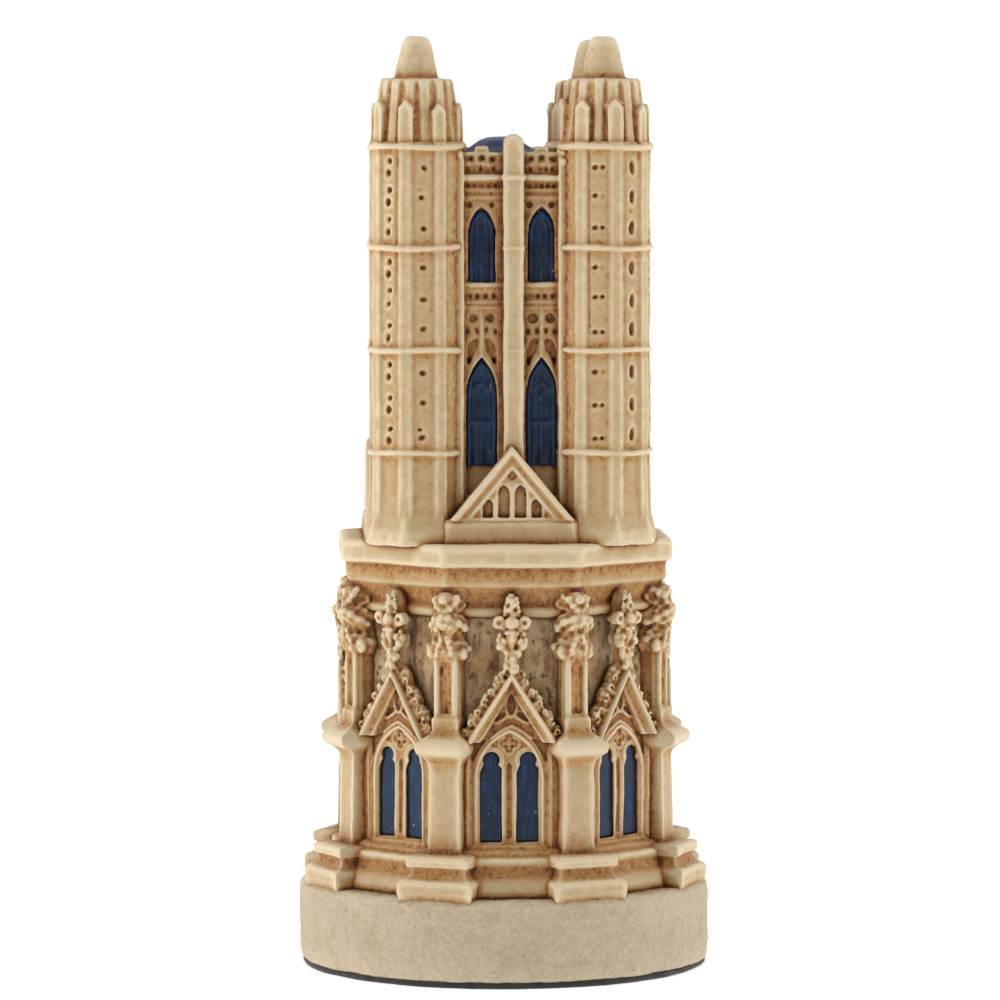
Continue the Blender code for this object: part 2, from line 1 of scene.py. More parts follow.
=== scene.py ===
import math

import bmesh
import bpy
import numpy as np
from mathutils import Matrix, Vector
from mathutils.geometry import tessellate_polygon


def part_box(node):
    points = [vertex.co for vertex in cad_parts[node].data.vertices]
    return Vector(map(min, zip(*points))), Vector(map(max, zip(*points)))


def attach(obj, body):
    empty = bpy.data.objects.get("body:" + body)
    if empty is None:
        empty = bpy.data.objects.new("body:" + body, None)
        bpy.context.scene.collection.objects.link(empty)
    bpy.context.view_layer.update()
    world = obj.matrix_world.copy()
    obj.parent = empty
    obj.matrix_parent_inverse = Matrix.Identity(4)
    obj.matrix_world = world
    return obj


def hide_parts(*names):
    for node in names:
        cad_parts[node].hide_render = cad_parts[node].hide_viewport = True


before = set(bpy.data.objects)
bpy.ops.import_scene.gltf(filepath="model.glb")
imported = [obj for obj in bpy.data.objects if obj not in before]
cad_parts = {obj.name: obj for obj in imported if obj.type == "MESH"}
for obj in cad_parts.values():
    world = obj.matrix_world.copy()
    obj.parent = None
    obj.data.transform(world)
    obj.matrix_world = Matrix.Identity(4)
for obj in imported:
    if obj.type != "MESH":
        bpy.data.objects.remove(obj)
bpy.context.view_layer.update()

# Looks of the church-tower figure: a hand-painted resin casting with a felt pad.
#
# Shapes are gathered as "clay" (closed meshes that may run into each other) and each piece is fused by a
# voxel remesh, softened and roughened, the way a cast copy of a carved pattern looks. Sizes are in units
# of one forty-fifth of the drum's diameter, close to a millimetre. Everything that belongs to one front is
# modelled facing -Y, "out" being the distance in front of the axis, and then turned to its front.

LOW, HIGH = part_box("base_drum")
DRUM_R = 22.5
U = (HIGH[0] - LOW[0]) / (2 * DRUM_R)
SIDES = 8
SIDE_TURN = math.tau / SIDES
QUARTER = math.tau / 4


def level(node, end):
    """Height of the foot (0) or top (1) of a CAD node, in units."""
    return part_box(node)[end][2] / U


FELT_TOP = level("felt_pad", 1)
DRUM_FOOT = level("base_drum", 0)
DRUM_TOP = level("base_drum", 1)
COURSE_TOP = level("plinth_course", 1)
CORNICE_FOOT = level("cornice", 0)
SLAB_TOP = level("cornice", 1)
PODIUM_TOP = level("tower_podium", 1)
CROWN_FOOT = level("turret_cap_1", 0)
CAP_TOP = level("turret_cap_1", 1)
BUTTRESS_TOP = level("tower_face_1", 1)
ROOF_PEAK = level("roof", 1)
TURRET_AT = (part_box("turret_cap_2")[0][0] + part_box("turret_cap_2")[1][0]) / 2 / U
WALL_OUT = 15.5
GROUND_OUT = 15.9
FRAME_OUT = 17.0
BACK = 15.2
ARCH_SPRING = 21.9
TOWER_BACK = 10.2
BAY_OUT = 11.75
PANE_OUT = 11.3
PANEL_OUT = 4.86
BANDS = (56.8, 67.8, 78.75, 89.55)
BUTTRESS_X = 0.25
BUTTRESS_HALF = 1.1
BACK_BUTTRESS_DROP = 1.1
TOWER_SHIFT = 0.2


# ---- clay ----


class Clay:
    """Closed shapes gathered before they are fused. Points are in units."""

    def __init__(self):
        self.points = []
        self.faces = []
        self.total = 0

    def add(self, points, faces):
        points = np.asarray(points, float)
        self.points.append(points)
        self.faces += [tuple(int(i) + self.total for i in face) for face in faces]
        self.total += len(points)

    def join(self, other, matrix=None):
        """Everything in the other clay, moved by the matrix."""
        points = np.concatenate(other.points)
        if matrix is not None:
            turn = np.array(matrix)
            points = points @ turn[:3, :3].T + turn[:3, 3]
        self.add(points, other.faces)

    def moved(self, matrix):
        made = Clay()
        made.join(self, matrix)
        return made

    def turned(self, angle):
        return self.moved(Matrix.Rotation(angle, 4, "Z"))

    def shifted(self, x, y=0):
        return self.moved(Matrix.Translation((x, y, 0)))

    def flipped(self):
        return self.moved(Matrix.Scale(-1, 4, (1, 0, 0)))

    def on_tower(self, angle):
        """Turned to its front, and moved with the whole tower, which stands a little to the right."""
        return self.moved(Matrix.Translation((TOWER_SHIFT, 0, 0)) @ Matrix.Rotation(angle, 4, "Z"))


def unit_ball(fineness):
    shape = bmesh.new()
    bmesh.ops.create_icosphere(shape, subdivisions=fineness, radius=1)
    points = np.array([v.co[:] for v in shape.verts])
    faces = [tuple(v.index for v in face.verts) for face in shape.faces]
    shape.free()
    return points, faces


BALL_POINTS, BALL_FACES = unit_ball(2)


def ball(clay, centre, radii, lean=0.0):
    """An egg; centre is (x, out, z) and lean turns it in the plane of its front."""
    x, out, z = centre
    px, py, pz = (BALL_POINTS * np.broadcast_to(radii, 3)).T
    c, s = math.cos(lean), math.sin(lean)
    clay.add(np.stack([px * c + pz * s, py, pz * c - px * s], 1) + (x, -out, z), BALL_FACES)


def smooth_path(knots, steps=6):
    """Points on a smooth curve through the knots."""
    knots = np.asarray(knots, float)
    padded = np.vstack([2 * knots[0] - knots[1], knots, 2 * knots[-1] - knots[-2]])
    out = []
    for a, b, c, d in zip(padded, padded[1:], padded[2:], padded[3:]):
        bend, twist = 2 * a - 5 * b + 4 * c - d, 3 * b - a - 3 * c + d
        for t in np.linspace(0, 1, steps, endpoint=False):
            out.append(0.5 * (2 * b + (c - a) * t + bend * t**2 + twist * t**3))
    out.append(knots[-1])
    return np.array(out)


def rings_to_clay(clay, rings):
    """A loft through rings of equal length, closed at both ends."""
    rings = np.asarray(rings, float)
    count, around = rings.shape[:2]
    faces = []
    for row in range(0, (count - 1) * around, around):
        for i in range(around):
            j = (i + 1) % around
            faces.append((row + i, row + j, row + around + j, row + around + i))
    faces.append(tuple(range(around))[::-1])
    faces.append(tuple(range((count - 1) * around, count * around)))
    clay.add(rings.reshape(-1, 3), faces)


def rod(clay, path, radius, sides=9):
    """A round rod along (x, out, z) points, its radius fixed or one per point, with rounded ends."""
    path = np.asarray(path, float) * (1, -1, 1)
    radii = np.broadcast_to(radius, len(path))
    ahead = np.gradient(path, axis=0)
    ahead /= np.linalg.norm(ahead, axis=1)[:, None]
    side = np.cross(ahead[0], (0.31, 0.95, 0.17))
    rings = []
    angles = np.arange(sides) * math.tau / sides
    for here, forward, r in zip(path, ahead, radii):
        side = side - forward * side.dot(forward)
        side /= np.linalg.norm(side)
        up = np.cross(forward, side)
        rings.append(here + r * (np.cos(angles)[:, None] * side + np.sin(angles)[:, None] * up))
    rings_to_clay(clay, rings)
    for end in (0, -1):
        clay.add(BALL_POINTS * radii[end] + path[end], BALL_FACES)


def bead(clay, outline, out, radius, closed=False):
    """A thin roll that follows (x, z) points at one distance in front of the axis."""
    path = [(x, out, z) for x, z in outline]
    if closed:
        path.append(path[0])
    rod(clay, path, radius, 8)


def string(clay, x, half, out, z, radius):
    """A level roll."""
    rod(clay, [(x - half, out, z), (x + half, out, z)], radius)


def arch_bead(clay, arch, out, radius):
    """A thin roll up one side of an arch and down the other, open at the foot."""
    bead(clay, arch[1:] + arch[:1], out, radius)


def slab(clay, near, far, outline, *holes):
    """An upright slab with holes; outlines are (x, z) points."""
    loops = [outline, *holes]
    flat = [p for loop in loops for p in loop]
    triangles = tessellate_polygon([[Vector((x, z, 0)) for x, z in loop] for loop in loops])
    count = len(flat)
    points = [(x, -out, z) for out in (far, near) for x, z, _ in [Vector((*p, 0)) for p in flat]]
    faces = [tuple(t) for t in triangles] + [tuple(i + count for i in t)[::-1] for t in triangles]
    start = 0
    for loop in loops:
        for i in range(len(loop)):
            a, b = start + i, start + (i + 1) % len(loop)
            faces.append((a, b, b + count, a + count))
        start += len(loop)
    clay.add(points, faces)


def rectangle(left, right, low, high):
    return [(left, low), (right, low), (right, high), (left, high)]


def block(clay, x, half, near, far, low, high):
    slab(clay, near, far, rectangle(x - half, x + half, low, high))


def stack(clay, sections, back, x=0.0):
    """A loft through level rectangles with a common back; sections are (z, half width, out)."""
    rings = []
    for z, h, out in sections:
        rings.append([(x - h, -back, z), (x - h, -out, z), (x + h, -out, z), (x + h, -back, z)])
    rings_to_clay(clay, rings)


def bar(clay, sections, back, chamfer=0.22):
    """An upright bar with softened front edges; sections are (z, half width, out)."""
    rings = []
    for z, h, out in sections:
        front = [(-h + chamfer, -out, z), (h - chamfer, -out, z)]
        rings.append([(-h, -back, z), (-h, chamfer - out, z), *front, (h, chamfer - out, z), (h, -back, z)])
    rings_to_clay(clay, rings)


def lathe(clay, profile, steps, centre=(0, 0), phase=0.0):
    """A turned shape; the profile is (radius, z) from bottom to top."""
    angles = phase + np.arange(steps) * math.tau / steps
    around = np.stack([np.cos(angles), np.sin(angles)], 1)
    rings_to_clay(clay, [np.column_stack([around * r + centre, np.full(steps, z)]) for r, z in profile])


def octagon(clay, profile):
    """Eight-sided, flats to the fronts; the profile is (flat distance, z)."""
    stretch = 1 / math.cos(SIDE_TURN / 2)
    lathe(clay, [(flat * stretch, z) for flat, z in profile], SIDES, phase=SIDE_TURN / 2)


def rakes(clay, profile, half, foot, apex):
    """The two sloping arms of a gable, mitred on the axis; the profile is (distance in, out)."""
    rise = apex - foot
    length = math.hypot(half, rise)
    low = [(half - p * length / rise, -out, foot) for p, out in profile]
    head = [(0.0, -out, apex - p * length / half) for p, out in profile]
    right = Clay()
    rings_to_clay(right, [low, head])
    both = right.moved(None)
    both.join(right.flipped())
    clay.join(both)


def roll(z_low, z_high, inner, outer, steps=6):
    """Profile points of a half-round moulding that stands out from inner to outer."""
    out = []
    for step in range(steps + 1):
        a = math.pi * step / steps
        z = (z_low + z_high) / 2 - (z_high - z_low) / 2 * math.cos(a)
        out.append((inner + (outer - inner) * math.sin(a), z))
    return out


def arc(centre, radius, start, end, steps=10):
    """Points on an arc, its angles in degrees."""
    angles = np.radians(np.linspace(start, end, steps + 1))
    return [(centre[0] + radius * math.cos(a), centre[1] + radius * math.sin(a)) for a in angles]


def circle(x, z, radius, steps=14):
    return arc((x, z), radius, 0, 360, steps)[:-1]


def oval(x, z, wide, tall, lean=0.0, steps=14):
    """A leaf-shaped opening."""
    points = []
    c, s = math.cos(lean), math.sin(lean)
    for step in range(steps):
        a = math.tau * step / steps
        px, pz = wide * math.cos(a), tall * math.sin(a) * (1 + 0.18 * math.cos(a))
        points.append((x + px * c - pz * s, z + px * s + pz * c))
    return points


def pointed_head(x, half, spring, apex, steps=12):
    """A pointed arch from its right springing over the apex to its left one."""
    rise = apex - spring
    radius = (half**2 + rise**2) / (2 * half)
    sweep = math.degrees(math.asin(min(1.0, rise / radius)))
    right = arc((x + half - radius, spring), radius, 0, sweep, steps)
    left = arc((x - half + radius, spring), radius, 180 - sweep, 180, steps)
    return right + left[1:]


def lancet(x, half, foot, spring, apex, steps=8):
    return [(x - half, foot), (x + half, foot)] + pointed_head(x, half, spring, apex, steps)


def foils(x, z, reach, lobe):
    """A ring of four round lobes."""
    points = []
    for toward in (0, 90, 180, 270):
        a = math.radians(toward)
        centre = (x + reach * math.cos(a), z + reach * math.sin(a))
        points += arc(centre, lobe, toward - 100, toward + 100, 6)
    return points


def closed_curve(knots, steps=4):
    """A smooth closed outline through the knots."""
    path = smooth_path([*knots[-2:], *knots, *knots[:2]], steps)
    return [tuple(p) for p in path[2 * steps : -2 * steps - 1]]


def dense(profile, step):
    """The profile with points no further apart than step."""
    out = [profile[0]]
    for a, b in zip(profile, profile[1:]):
        count = max(1, math.ceil(math.dist(a, b) / step))
        for i in range(1, count + 1):
            out.append((a[0] + (b[0] - a[0]) * i / count, a[1] + (b[1] - a[1]) * i / count))
    return out


def carved_body(clay, sections, back):
    """A rounded mass through (z, half width, out) sections; gives how far out its skin is at (x, z)."""
    levels, halves, outs = np.array(sections).T
    angles = np.linspace(math.pi, 0, 15)
    rings = []
    for z, half, out in sections:
        rings.append([(half * math.cos(a), -(back + (out - back) * math.sin(a)), z) for a in angles])
    rings_to_clay(clay, rings)

    def skin(x, z):
        half = np.interp(z, levels, halves)
        reach = np.interp(z, levels, outs) - back
        return back + reach * math.sqrt(max(0.1, 1 - (x / half) ** 2))

    return skin


# ---- pieces: fusing, roughening and the list of everything made ----

PIECES = []
GRAIN = 1.0
WORN = ((4.0, 0.07), (1.3, 0.04), (0.5, 0.02))
WORN_MORE = ((4.0, 0.07), (1.3, 0.04), (0.5, 0.025))
BRUSHED = ((1.2, 0.03), (0.45, 0.02))


def trilinear(table, cell, part):
    """Values of a repeating grid at points that lie part of the way through its cells."""
    total = np.zeros(len(cell))
    for corner in range(8):
        step = np.array([corner & 1, corner >> 1 & 1, corner >> 2 & 1])
        weight = np.prod(np.where(step, part, 1 - part), axis=1)
        index = (cell + step) % table.shape
        total += weight * table[index[:, 0], index[:, 1], index[:, 2]]
    return total


def lattice_noise(points, size, seed):
    """Smooth value noise from -1 to 1, one value per point, with cells of the given size."""
    table = np.random.default_rng(seed).uniform(-1, 1, (32, 32, 32))
    where = points / size + 100.0
    cell = np.floor(where).astype(int)
    part = where - cell
    return trilinear(table, cell, part * part * (3 - 2 * part))


def mesh_arrays(mesh):
    """Points in units and unit normals of a mesh."""
    points = np.empty(len(mesh.vertices) * 3, np.float32)
    mesh.vertices.foreach_get("co", points)
    normals = np.empty(len(mesh.vertices) * 3, np.float32)
    mesh.vertex_normals.foreach_get("vector", normals)
    return points.reshape(-1, 3) / U, normals.reshape(-1, 3)


def raised(mesh, points, normals, height):
    """Moves the points along their normals."""
    moved = (points + normals * height[:, None]) * U
    mesh.vertices.foreach_set("co", moved.astype(np.float32).ravel())
    mesh.update()


def roughened(mesh, waves, seed):
    """Moves the points along their normals by noise; waves are (size, depth) in units."""
    points, normals = mesh_arrays(mesh)
    height = np.zeros(len(points))
    for number, (size, depth) in enumerate(waves):
        height += depth * lattice_noise(points, size, seed + 17 * number)
    raised(mesh, points, normals, height)


def grade(value, start, end):
    """From 0 at start to 1 at end, and held beyond them."""
    return np.clip((value - start) / (end - start), 0, 1)


def gnarled(mesh, low, high, seed):
    """Worn, pitted relief on the leafy parts between two heights."""
    points, normals = mesh_arrays(mesh)
    share = grade(points[:, 2], low, low + 0.6) * grade(points[:, 2], high, high - 0.4)
    height = 0.08 * lattice_noise(points, 1.0, seed) + 0.09 * lattice_noise(points, 0.5, seed + 1)
    raised(mesh, points, normals, share * height)


def new_item(name, points, faces):
    mesh = bpy.data.meshes.new(name)
    mesh.from_pydata(points * U, [], faces)
    item = bpy.data.objects.new(name, mesh)
    bpy.context.scene.collection.objects.link(item)
    return item


def finish_piece(item, slot, *nodes):
    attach(item, "root")
    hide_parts(*nodes)


def fused(name, clay, slot, node, grain, soften=1, waves=WORN, leafy=None):
    """One piece of the casting, in place of a CAD node: the clay as a single skin with soft edges."""
    item = new_item(name, np.concatenate(clay.points), clay.faces)
    rough = item.data
    remesh = item.modifiers.new("fuse", "REMESH")
    remesh.mode = "VOXEL"
    remesh.voxel_size = grain * GRAIN * U
    smooth = item.modifiers.new("soften", "SMOOTH")
    smooth.factor = 0.5
    smooth.iterations = soften
    bpy.context.view_layer.update()
    made = bpy.data.meshes.new_from_object(item.evaluated_get(bpy.context.evaluated_depsgraph_get()))
    item.modifiers.clear()
    item.data = made
    bpy.data.meshes.remove(rough)
    roughened(made, waves, len(PIECES) * 5)
    made.shade_smooth()
    PIECES.append(item)
    if leafy:
        gnarled(made, *leafy)
    finish_piece(item, slot, node)
    return item


# ---- the drum and the felt ----


def drum():
    step = 0.28 * GRAIN
    profile = [(0.4, DRUM_FOOT), (DRUM_R - 0.5, DRUM_FOOT), (DRUM_R - 0.12, DRUM_FOOT + 0.25)]
    profile += [(DRUM_R, DRUM_FOOT + 1.4), (DRUM_R, DRUM_TOP - 2.2), (DRUM_R - 0.15, DRUM_TOP - 0.6)]
    profile += [(DRUM_R - 0.5, DRUM_TOP - 0.1), (DRUM_R - 0.9, DRUM_TOP), (14.0, DRUM_TOP), (0.4, DRUM_TOP)]
    clay = Clay()
    lathe(clay, dense(profile, step), int(math.tau * DRUM_R / step))
    item = new_item("drum", np.concatenate(clay.points), clay.faces)
    roughened(item.data, ((7.0, 0.09), (2.2, 0.06), (0.9, 0.06), (0.5, 0.05)), 3)
    item.data.shade_smooth()
    PIECES.append(item)
    finish_piece(item, "resin", "base_drum")
    return item


def felt():
    """The pad, its edge cut a little unevenly."""
    radius = DRUM_R - 0.22
    top = FELT_TOP + 0.1
    profile = [(0.4, 0.02), (radius - 0.15, 0.02), (radius, 0.2), (radius, FELT_TOP)]
    profile += [(radius - 0.4, top), (0.4, top)]
    clay = Clay()
    lathe(clay, dense(profile, 0.6), int(math.tau * radius / (0.2 * GRAIN)))
    points = np.concatenate(clay.points)
    distance = np.hypot(points[:, 0], points[:, 1])
    wander = 0.16 * lattice_noise(points, 2.5, 5) + 0.07 * lattice_noise(points, 0.45, 9)
    points[:, :2] *= (1 + wander * grade(distance, radius - 1, radius) / np.maximum(distance, 1))[:, None]
    item = new_item("felt", points, clay.faces)
    item.data.shade_smooth()
    finish_piece(item, "felt", "felt_pad")
    return item


# ---- the eight-sided storey ----

CAPITAL = (
    (34.4, 1.2, 18.2), (35.0, 1.75, 18.65), (35.7, 2.1, 18.9), (36.3, 1.95, 18.9), (36.9, 1.6, 18.85),
    (37.5, 1.4, 18.9), (38.1, 1.65, 19.1), (38.7, 1.9, 19.25), (39.2, 1.75, 19.2), (39.8, 1.25, 18.95),
    (40.4, 1.35, 19.0), (41.1, 1.6, 19.15), (41.6, 1.5, 19.1), (42.0, 1.15, 18.8),
)
FINIAL = (
    (32.2, 0.55, 17.6), (33.6, 0.62, 17.7), (34.8, 0.58, 17.8), (35.5, 0.7, 17.85), (36.2, 1.25, 17.95),
    (36.9, 1.25, 17.95), (37.6, 0.85, 18.0), (38.2, 1.0, 18.1), (38.8, 1.5, 18.15), (39.4, 0.95, 18.1),
    (40.0, 0.8, 18.0), (40.7, 0.72, 17.95), (41.4, 0.5, 17.9), (41.9, 0.25, 17.8),
)
LIGHT_X = 1.98
LIGHT_HALF = 1.24
LIGHT_FOOT = 15.05
LIGHT_NECK = 22.9
LIGHT_LOBE = 23.95
EYE_Z = 25.75
GABLE_FOOT = 25.9
GABLE_APEX = 33.55
GABLE_HALF = 4.95
WINDOW_SHIFT = (-0.22, 0.1, -0.1, 0.15, -0.05, 0.1, -0.12, 0.08)


def course():
    clay = Clay()
    profile = [(19.9, DRUM_TOP - 0.3), (20.1, DRUM_TOP + 0.25), (20.1, 10.3), (19.85, 10.9), (19.5, 11.3)]
    profile += [(19.0, 11.6), (18.75, 12.0), (18.65, 12.5)]
    profile += roll(12.6, 13.6, 18.5, 18.95)
    profile += [(17.9, 13.7), (17.75, 14.15), (17.2, 14.35), (17.1, COURSE_TOP)]
    octagon(clay, profile)
    fused("course", clay, "resin", "plinth_course", 0.2, 3)


def wall():
    clay = Clay()
    octagon(clay, [(WALL_OUT, COURSE_TOP - 0.6), (WALL_OUT, CORNICE_FOOT + 0.4)])
    waves = ((3.5, 0.06), (1.1, 0.09), (0.5, 0.06))
    return fused("stained_wall", clay, "stained_resin", "lower_core", 0.24, 2, waves)


def leaf_capital(rng):
    """The worn leaves on a pinnacle: low lobes, a waist, a drooping canopy and a forked top."""
    clay = Clay()
    skin = carved_body(clay, CAPITAL, 16.2)
    lathe(clay, [(1.4, 38.2), (1.8, 39.9), (2.3, 41.5), (2.95, 42.75)], 28, (0, -15.4))

    def worn(x, z):
        drop = 0.45
        return x + rng.uniform(-0.12, 0.12), z - drop + rng.uniform(-0.12, 0.12)

    def ridge(knots, radius, lift=-0.08):
        path = [worn(*knot) for knot in knots]
        smooth = smooth_path([(x, skin(x, z) + lift, z) for x, z in path], 4)
        sizes = radius * (1 + 0.25 * np.sin(rng.uniform(0, 6) + 1.7 * np.arange(len(smooth))))
        rod(clay, smooth, sizes, 8)

    def knob(x, z, radii, lean=0.0):
        x, z = worn(x, z)
        ball(clay, (x, skin(x, z), z), np.array(radii) * rng.uniform(0.85, 1.15, 3), lean)

    for s in (-1, 1):
        # low lobes, curled round, with the fold between them
        knob(s * 1.5, 36.0, (0.85, 0.55, 0.8), s * 0.4)
        knob(s * 2.0, 36.5, (0.45, 0.5, 0.45))
        ridge([(s * 0.6, 37.0), (s * 1.2, 37.1), (s * 1.8, 36.8)], 0.3)
        ridge([(s * 0.25, 37.75), (s * 0.55, 37.1), (s * 0.85, 36.5), (s * 0.8, 35.8)], 0.3, 0.14)
        ridge([(s * 0.15, 36.2), (s * 0.35, 35.7), (s * 0.4, 35.2)], 0.2)
        # waist
        ridge([(s * 0.45, 38.6), (s * 0.5, 38.0), (s * 0.35, 37.4)], 0.22, 0.02)
        ridge([(s * 1.05, 38.6), (s * 1.15, 37.9), (s * 1.45, 37.3)], 0.3, 0.0)
        # canopy with drooping tips
        ridge([(0, 39.75), (s * 0.7, 39.6), (s * 1.35, 39.2), (s * 1.8, 38.5)], 0.42, 0.14)
        ridge([(s * 0.1, 39.2), (s * 0.6, 39.0), (s * 0.98, 38.5)], 0.3, 0.18)
        knob(s * 0.98, 38.3, (0.28, 0.35, 0.4), s * 0.2)
        knob(s * 1.8, 38.5, (0.3, 0.4, 0.45), s * -0.2)
        ridge([(s * 0.2, 40.1), (s * 0.85, 40.05), (s * 1.45, 39.7)], 0.28)
        # forked top
        ridge([(s * 0.1, 40.3), (s * 0.5, 40.8), (s * 0.95, 41.4), (s * 1.25, 42.0)], 0.36, 0.14)
        ridge([(s * 1.0, 40.5), (s * 1.4, 40.8), (s * 1.55, 41.3)], 0.3)
        knob(s * 1.05, 41.7, (0.5, 0.4, 0.5))
    knob(0, 41.7, (0.5, 0.3, 0.5))
    knob(0, 38.95, (0.4, 0.3, 0.5))
    for _ in range(22):
        knob(rng.uniform(-1.6, 1.6), rng.uniform(35.7, 42.2), rng.uniform(0.12, 0.26, 3) + (0, 0.04, 0))
    return clay


def pier(rng):
    clay = Clay()
    back = WALL_OUT - 1
    foot = [(DRUM_TOP - 0.3, 4.1, 21.9), (9.9, 4.25, 22.1), (10.9, 4.25, 22.1), (11.25, 4.0, 21.9)]
    foot += [(11.55, 3.4, 21.2), (12.0, 3.1, 20.9), (12.45, 3.1, 20.9), (12.6, 3.25, 21.05)]
    foot += [(12.75, 3.5, 21.3), (13.5, 3.55, 21.35), (13.8, 3.3, 21.1), (13.95, 2.6, 20.2)]
    stack(clay, foot, back)
    stack(clay, [(13.6, 1.85, 19.1), (23.9, 1.78, 18.9)], back)
    cap = [(23.3, 1.78, 18.9), (23.9, 1.95, 19.1), (24.3, 2.2, 19.6), (24.55, 2.45, 20.1), (24.8, 2.62, 20.5)]
    cap += [(25.15, 2.7, 20.7), (25.7, 2.7, 20.7), (26.0, 2.58, 20.45), (26.25, 2.35, 20.1)]
    cap += [(26.6, 1.9, 19.5), (26.9, 1.6, 19.0), (27.2, 1.5, 18.85), (28.35, 1.5, 18.8), (28.55, 1.4, 18.7)]
    stack(clay, cap, back)
    # the pinnacle: two square rolls with a reeded hollow between them
    stack(clay, [(28.2, 1.3, 17.5), (35.6, 1.3, 17.5)], back)
    for s in (-1, 1):
        rod(clay, [(s * 0.98, 18.25, 28.6), (s * 1.0, 18.25, 35.6)], 0.38)
        rod(clay, [(s * 1.05, 17.7, 28.6), (s * 1.05, 17.7, 35.6)], 0.4)
        rod(clay, [(s * 0.36, 17.92, 29.0), (s * 0.14, 18.0, 35.2)], 0.26)
        rod(clay, [(s * 0.7, 17.8, 29.0), (s * 0.62, 17.85, 34.6)], 0.15)
        rod(clay, [(s * 0.98, 18.15, 33.6), (s * 0.2, 18.25, 35.6)], 0.26)
    block(clay, 0, 1.1, 17, 18.5, 28.5, 28.95)
    clay.join(leaf_capital(rng))
    return clay


def piers():
    for number in range(SIDES):
        clay = pier(np.random.default_rng(100 + number)).turned((number + 0.5) * SIDE_TURN)
        leafy = (34.6, 42.2, 40 + number)
        fused(f"pier_carving_{number + 1}", clay, "resin", f"pier_{number + 1}", 0.13, leafy=leafy)


def light_outline(x, grow=0.0):
    """A lower light: straight sides, a small cusp on the left, and a round head a little to the right."""
    half = LIGHT_HALF + grow
    lobe = arc((x + 0.06, LIGHT_LOBE), 0.93 + grow, -30, 205, 14)
    foot = LIGHT_FOOT - grow
    neck = LIGHT_NECK
    left = [(x - half + 0.3, neck + 0.3), (x - half + 0.06, neck - 0.2), (x - half, neck - 0.6)]
    right = [(x + half, foot), (x + half, neck - 0.1), (x + half - 0.08, neck + 0.3)]
    return [*right, *lobe, *left, (x - half, foot)]


def window():
    """Two lights with round heads under a pointed arch, and a four-lobed boss between them."""
    clay = Clay()
    slab(clay, WALL_OUT - 0.5, GROUND_OUT + 0.3, lancet(0, 3.95, 14.0, ARCH_SPRING, 27.5))
    lights = [light_outline(-LIGHT_X), light_outline(LIGHT_X)]
    mullion = [(-0.26, 15.5), (0.26, 15.5), (0.26, 23.3), (0, 23.7), (-0.26, 23.3)]
    face = FRAME_OUT - 0.35
    eye = foils(0, EYE_Z, 0.5, 0.5)
    slab(clay, WALL_OUT, face, lancet(0, 3.36, 14.0, 22.3, 26.8), *lights, eye, mullion)
    block(clay, 0, 0.6, WALL_OUT, face - 0.25, 15.2, 23.8)
    for half, apex, size, ahead in ((3.62, 27.12, 0.23, 0.2), (3.97, 27.6, 0.2, 0.02)):
        line = [(half, 14.3)] + pointed_head(0, half, ARCH_SPRING, apex) + [(-half, 14.3)]
        bead(clay, line, face + ahead, size)
    for x in (-LIGHT_X, LIGHT_X):
        bead(clay, light_outline(x, 0.06), face, 0.15, closed=True)
        bead(clay, arc((x + 0.06, LIGHT_LOBE), 1.34, -25, 205, 14), face + 0.06, 0.15)
    # the boss: four lobes around four small pits, in a shallow ring
    pits = [circle(0.36 * a, EYE_Z + 0.36 * b, 0.17, 8) for a in (-1, 1) for b in (-1, 1)]
    slab(clay, WALL_OUT, face - 0.16, circle(0, EYE_Z, 1.2), *pits)
    bead(clay, foils(0, EYE_Z, 0.55, 0.6), face, 0.13, closed=True)
    # sill, in two sloping steps
    sill = [(13.4, 4.3, 18.0), (14.0, 4.3, 17.8), (14.4, 4.2, 17.2), (14.75, 4.0, 17.1), (15.0, 3.7, 16.6)]
    stack(clay, sill, BACK)
    for side in (-1, 1):
        # the web over the haunch, a plain reveal and its quirk beside the pinnacle's shaft
        haunch = [(x, z) for x, z in pointed_head(0, 3.95, ARCH_SPRING, 27.6) if x >= 0]
        web = [(side * x, z) for x, z in [(4.3, 21.2), (4.3, 27.2), *reversed(haunch)]]
        slab(clay, WALL_OUT, face - 0.12, web)
        stack(clay, [(14.0, 0.95, 16.95), (24.8, 0.95, 16.9), (26.3, 0.8, 16.5)], BACK, side * 5.0)
        rod(clay, [(side * 4.5, 16.9, 14.2), (side * 4.5, 16.9, 25.0)], 0.2)
    return clay


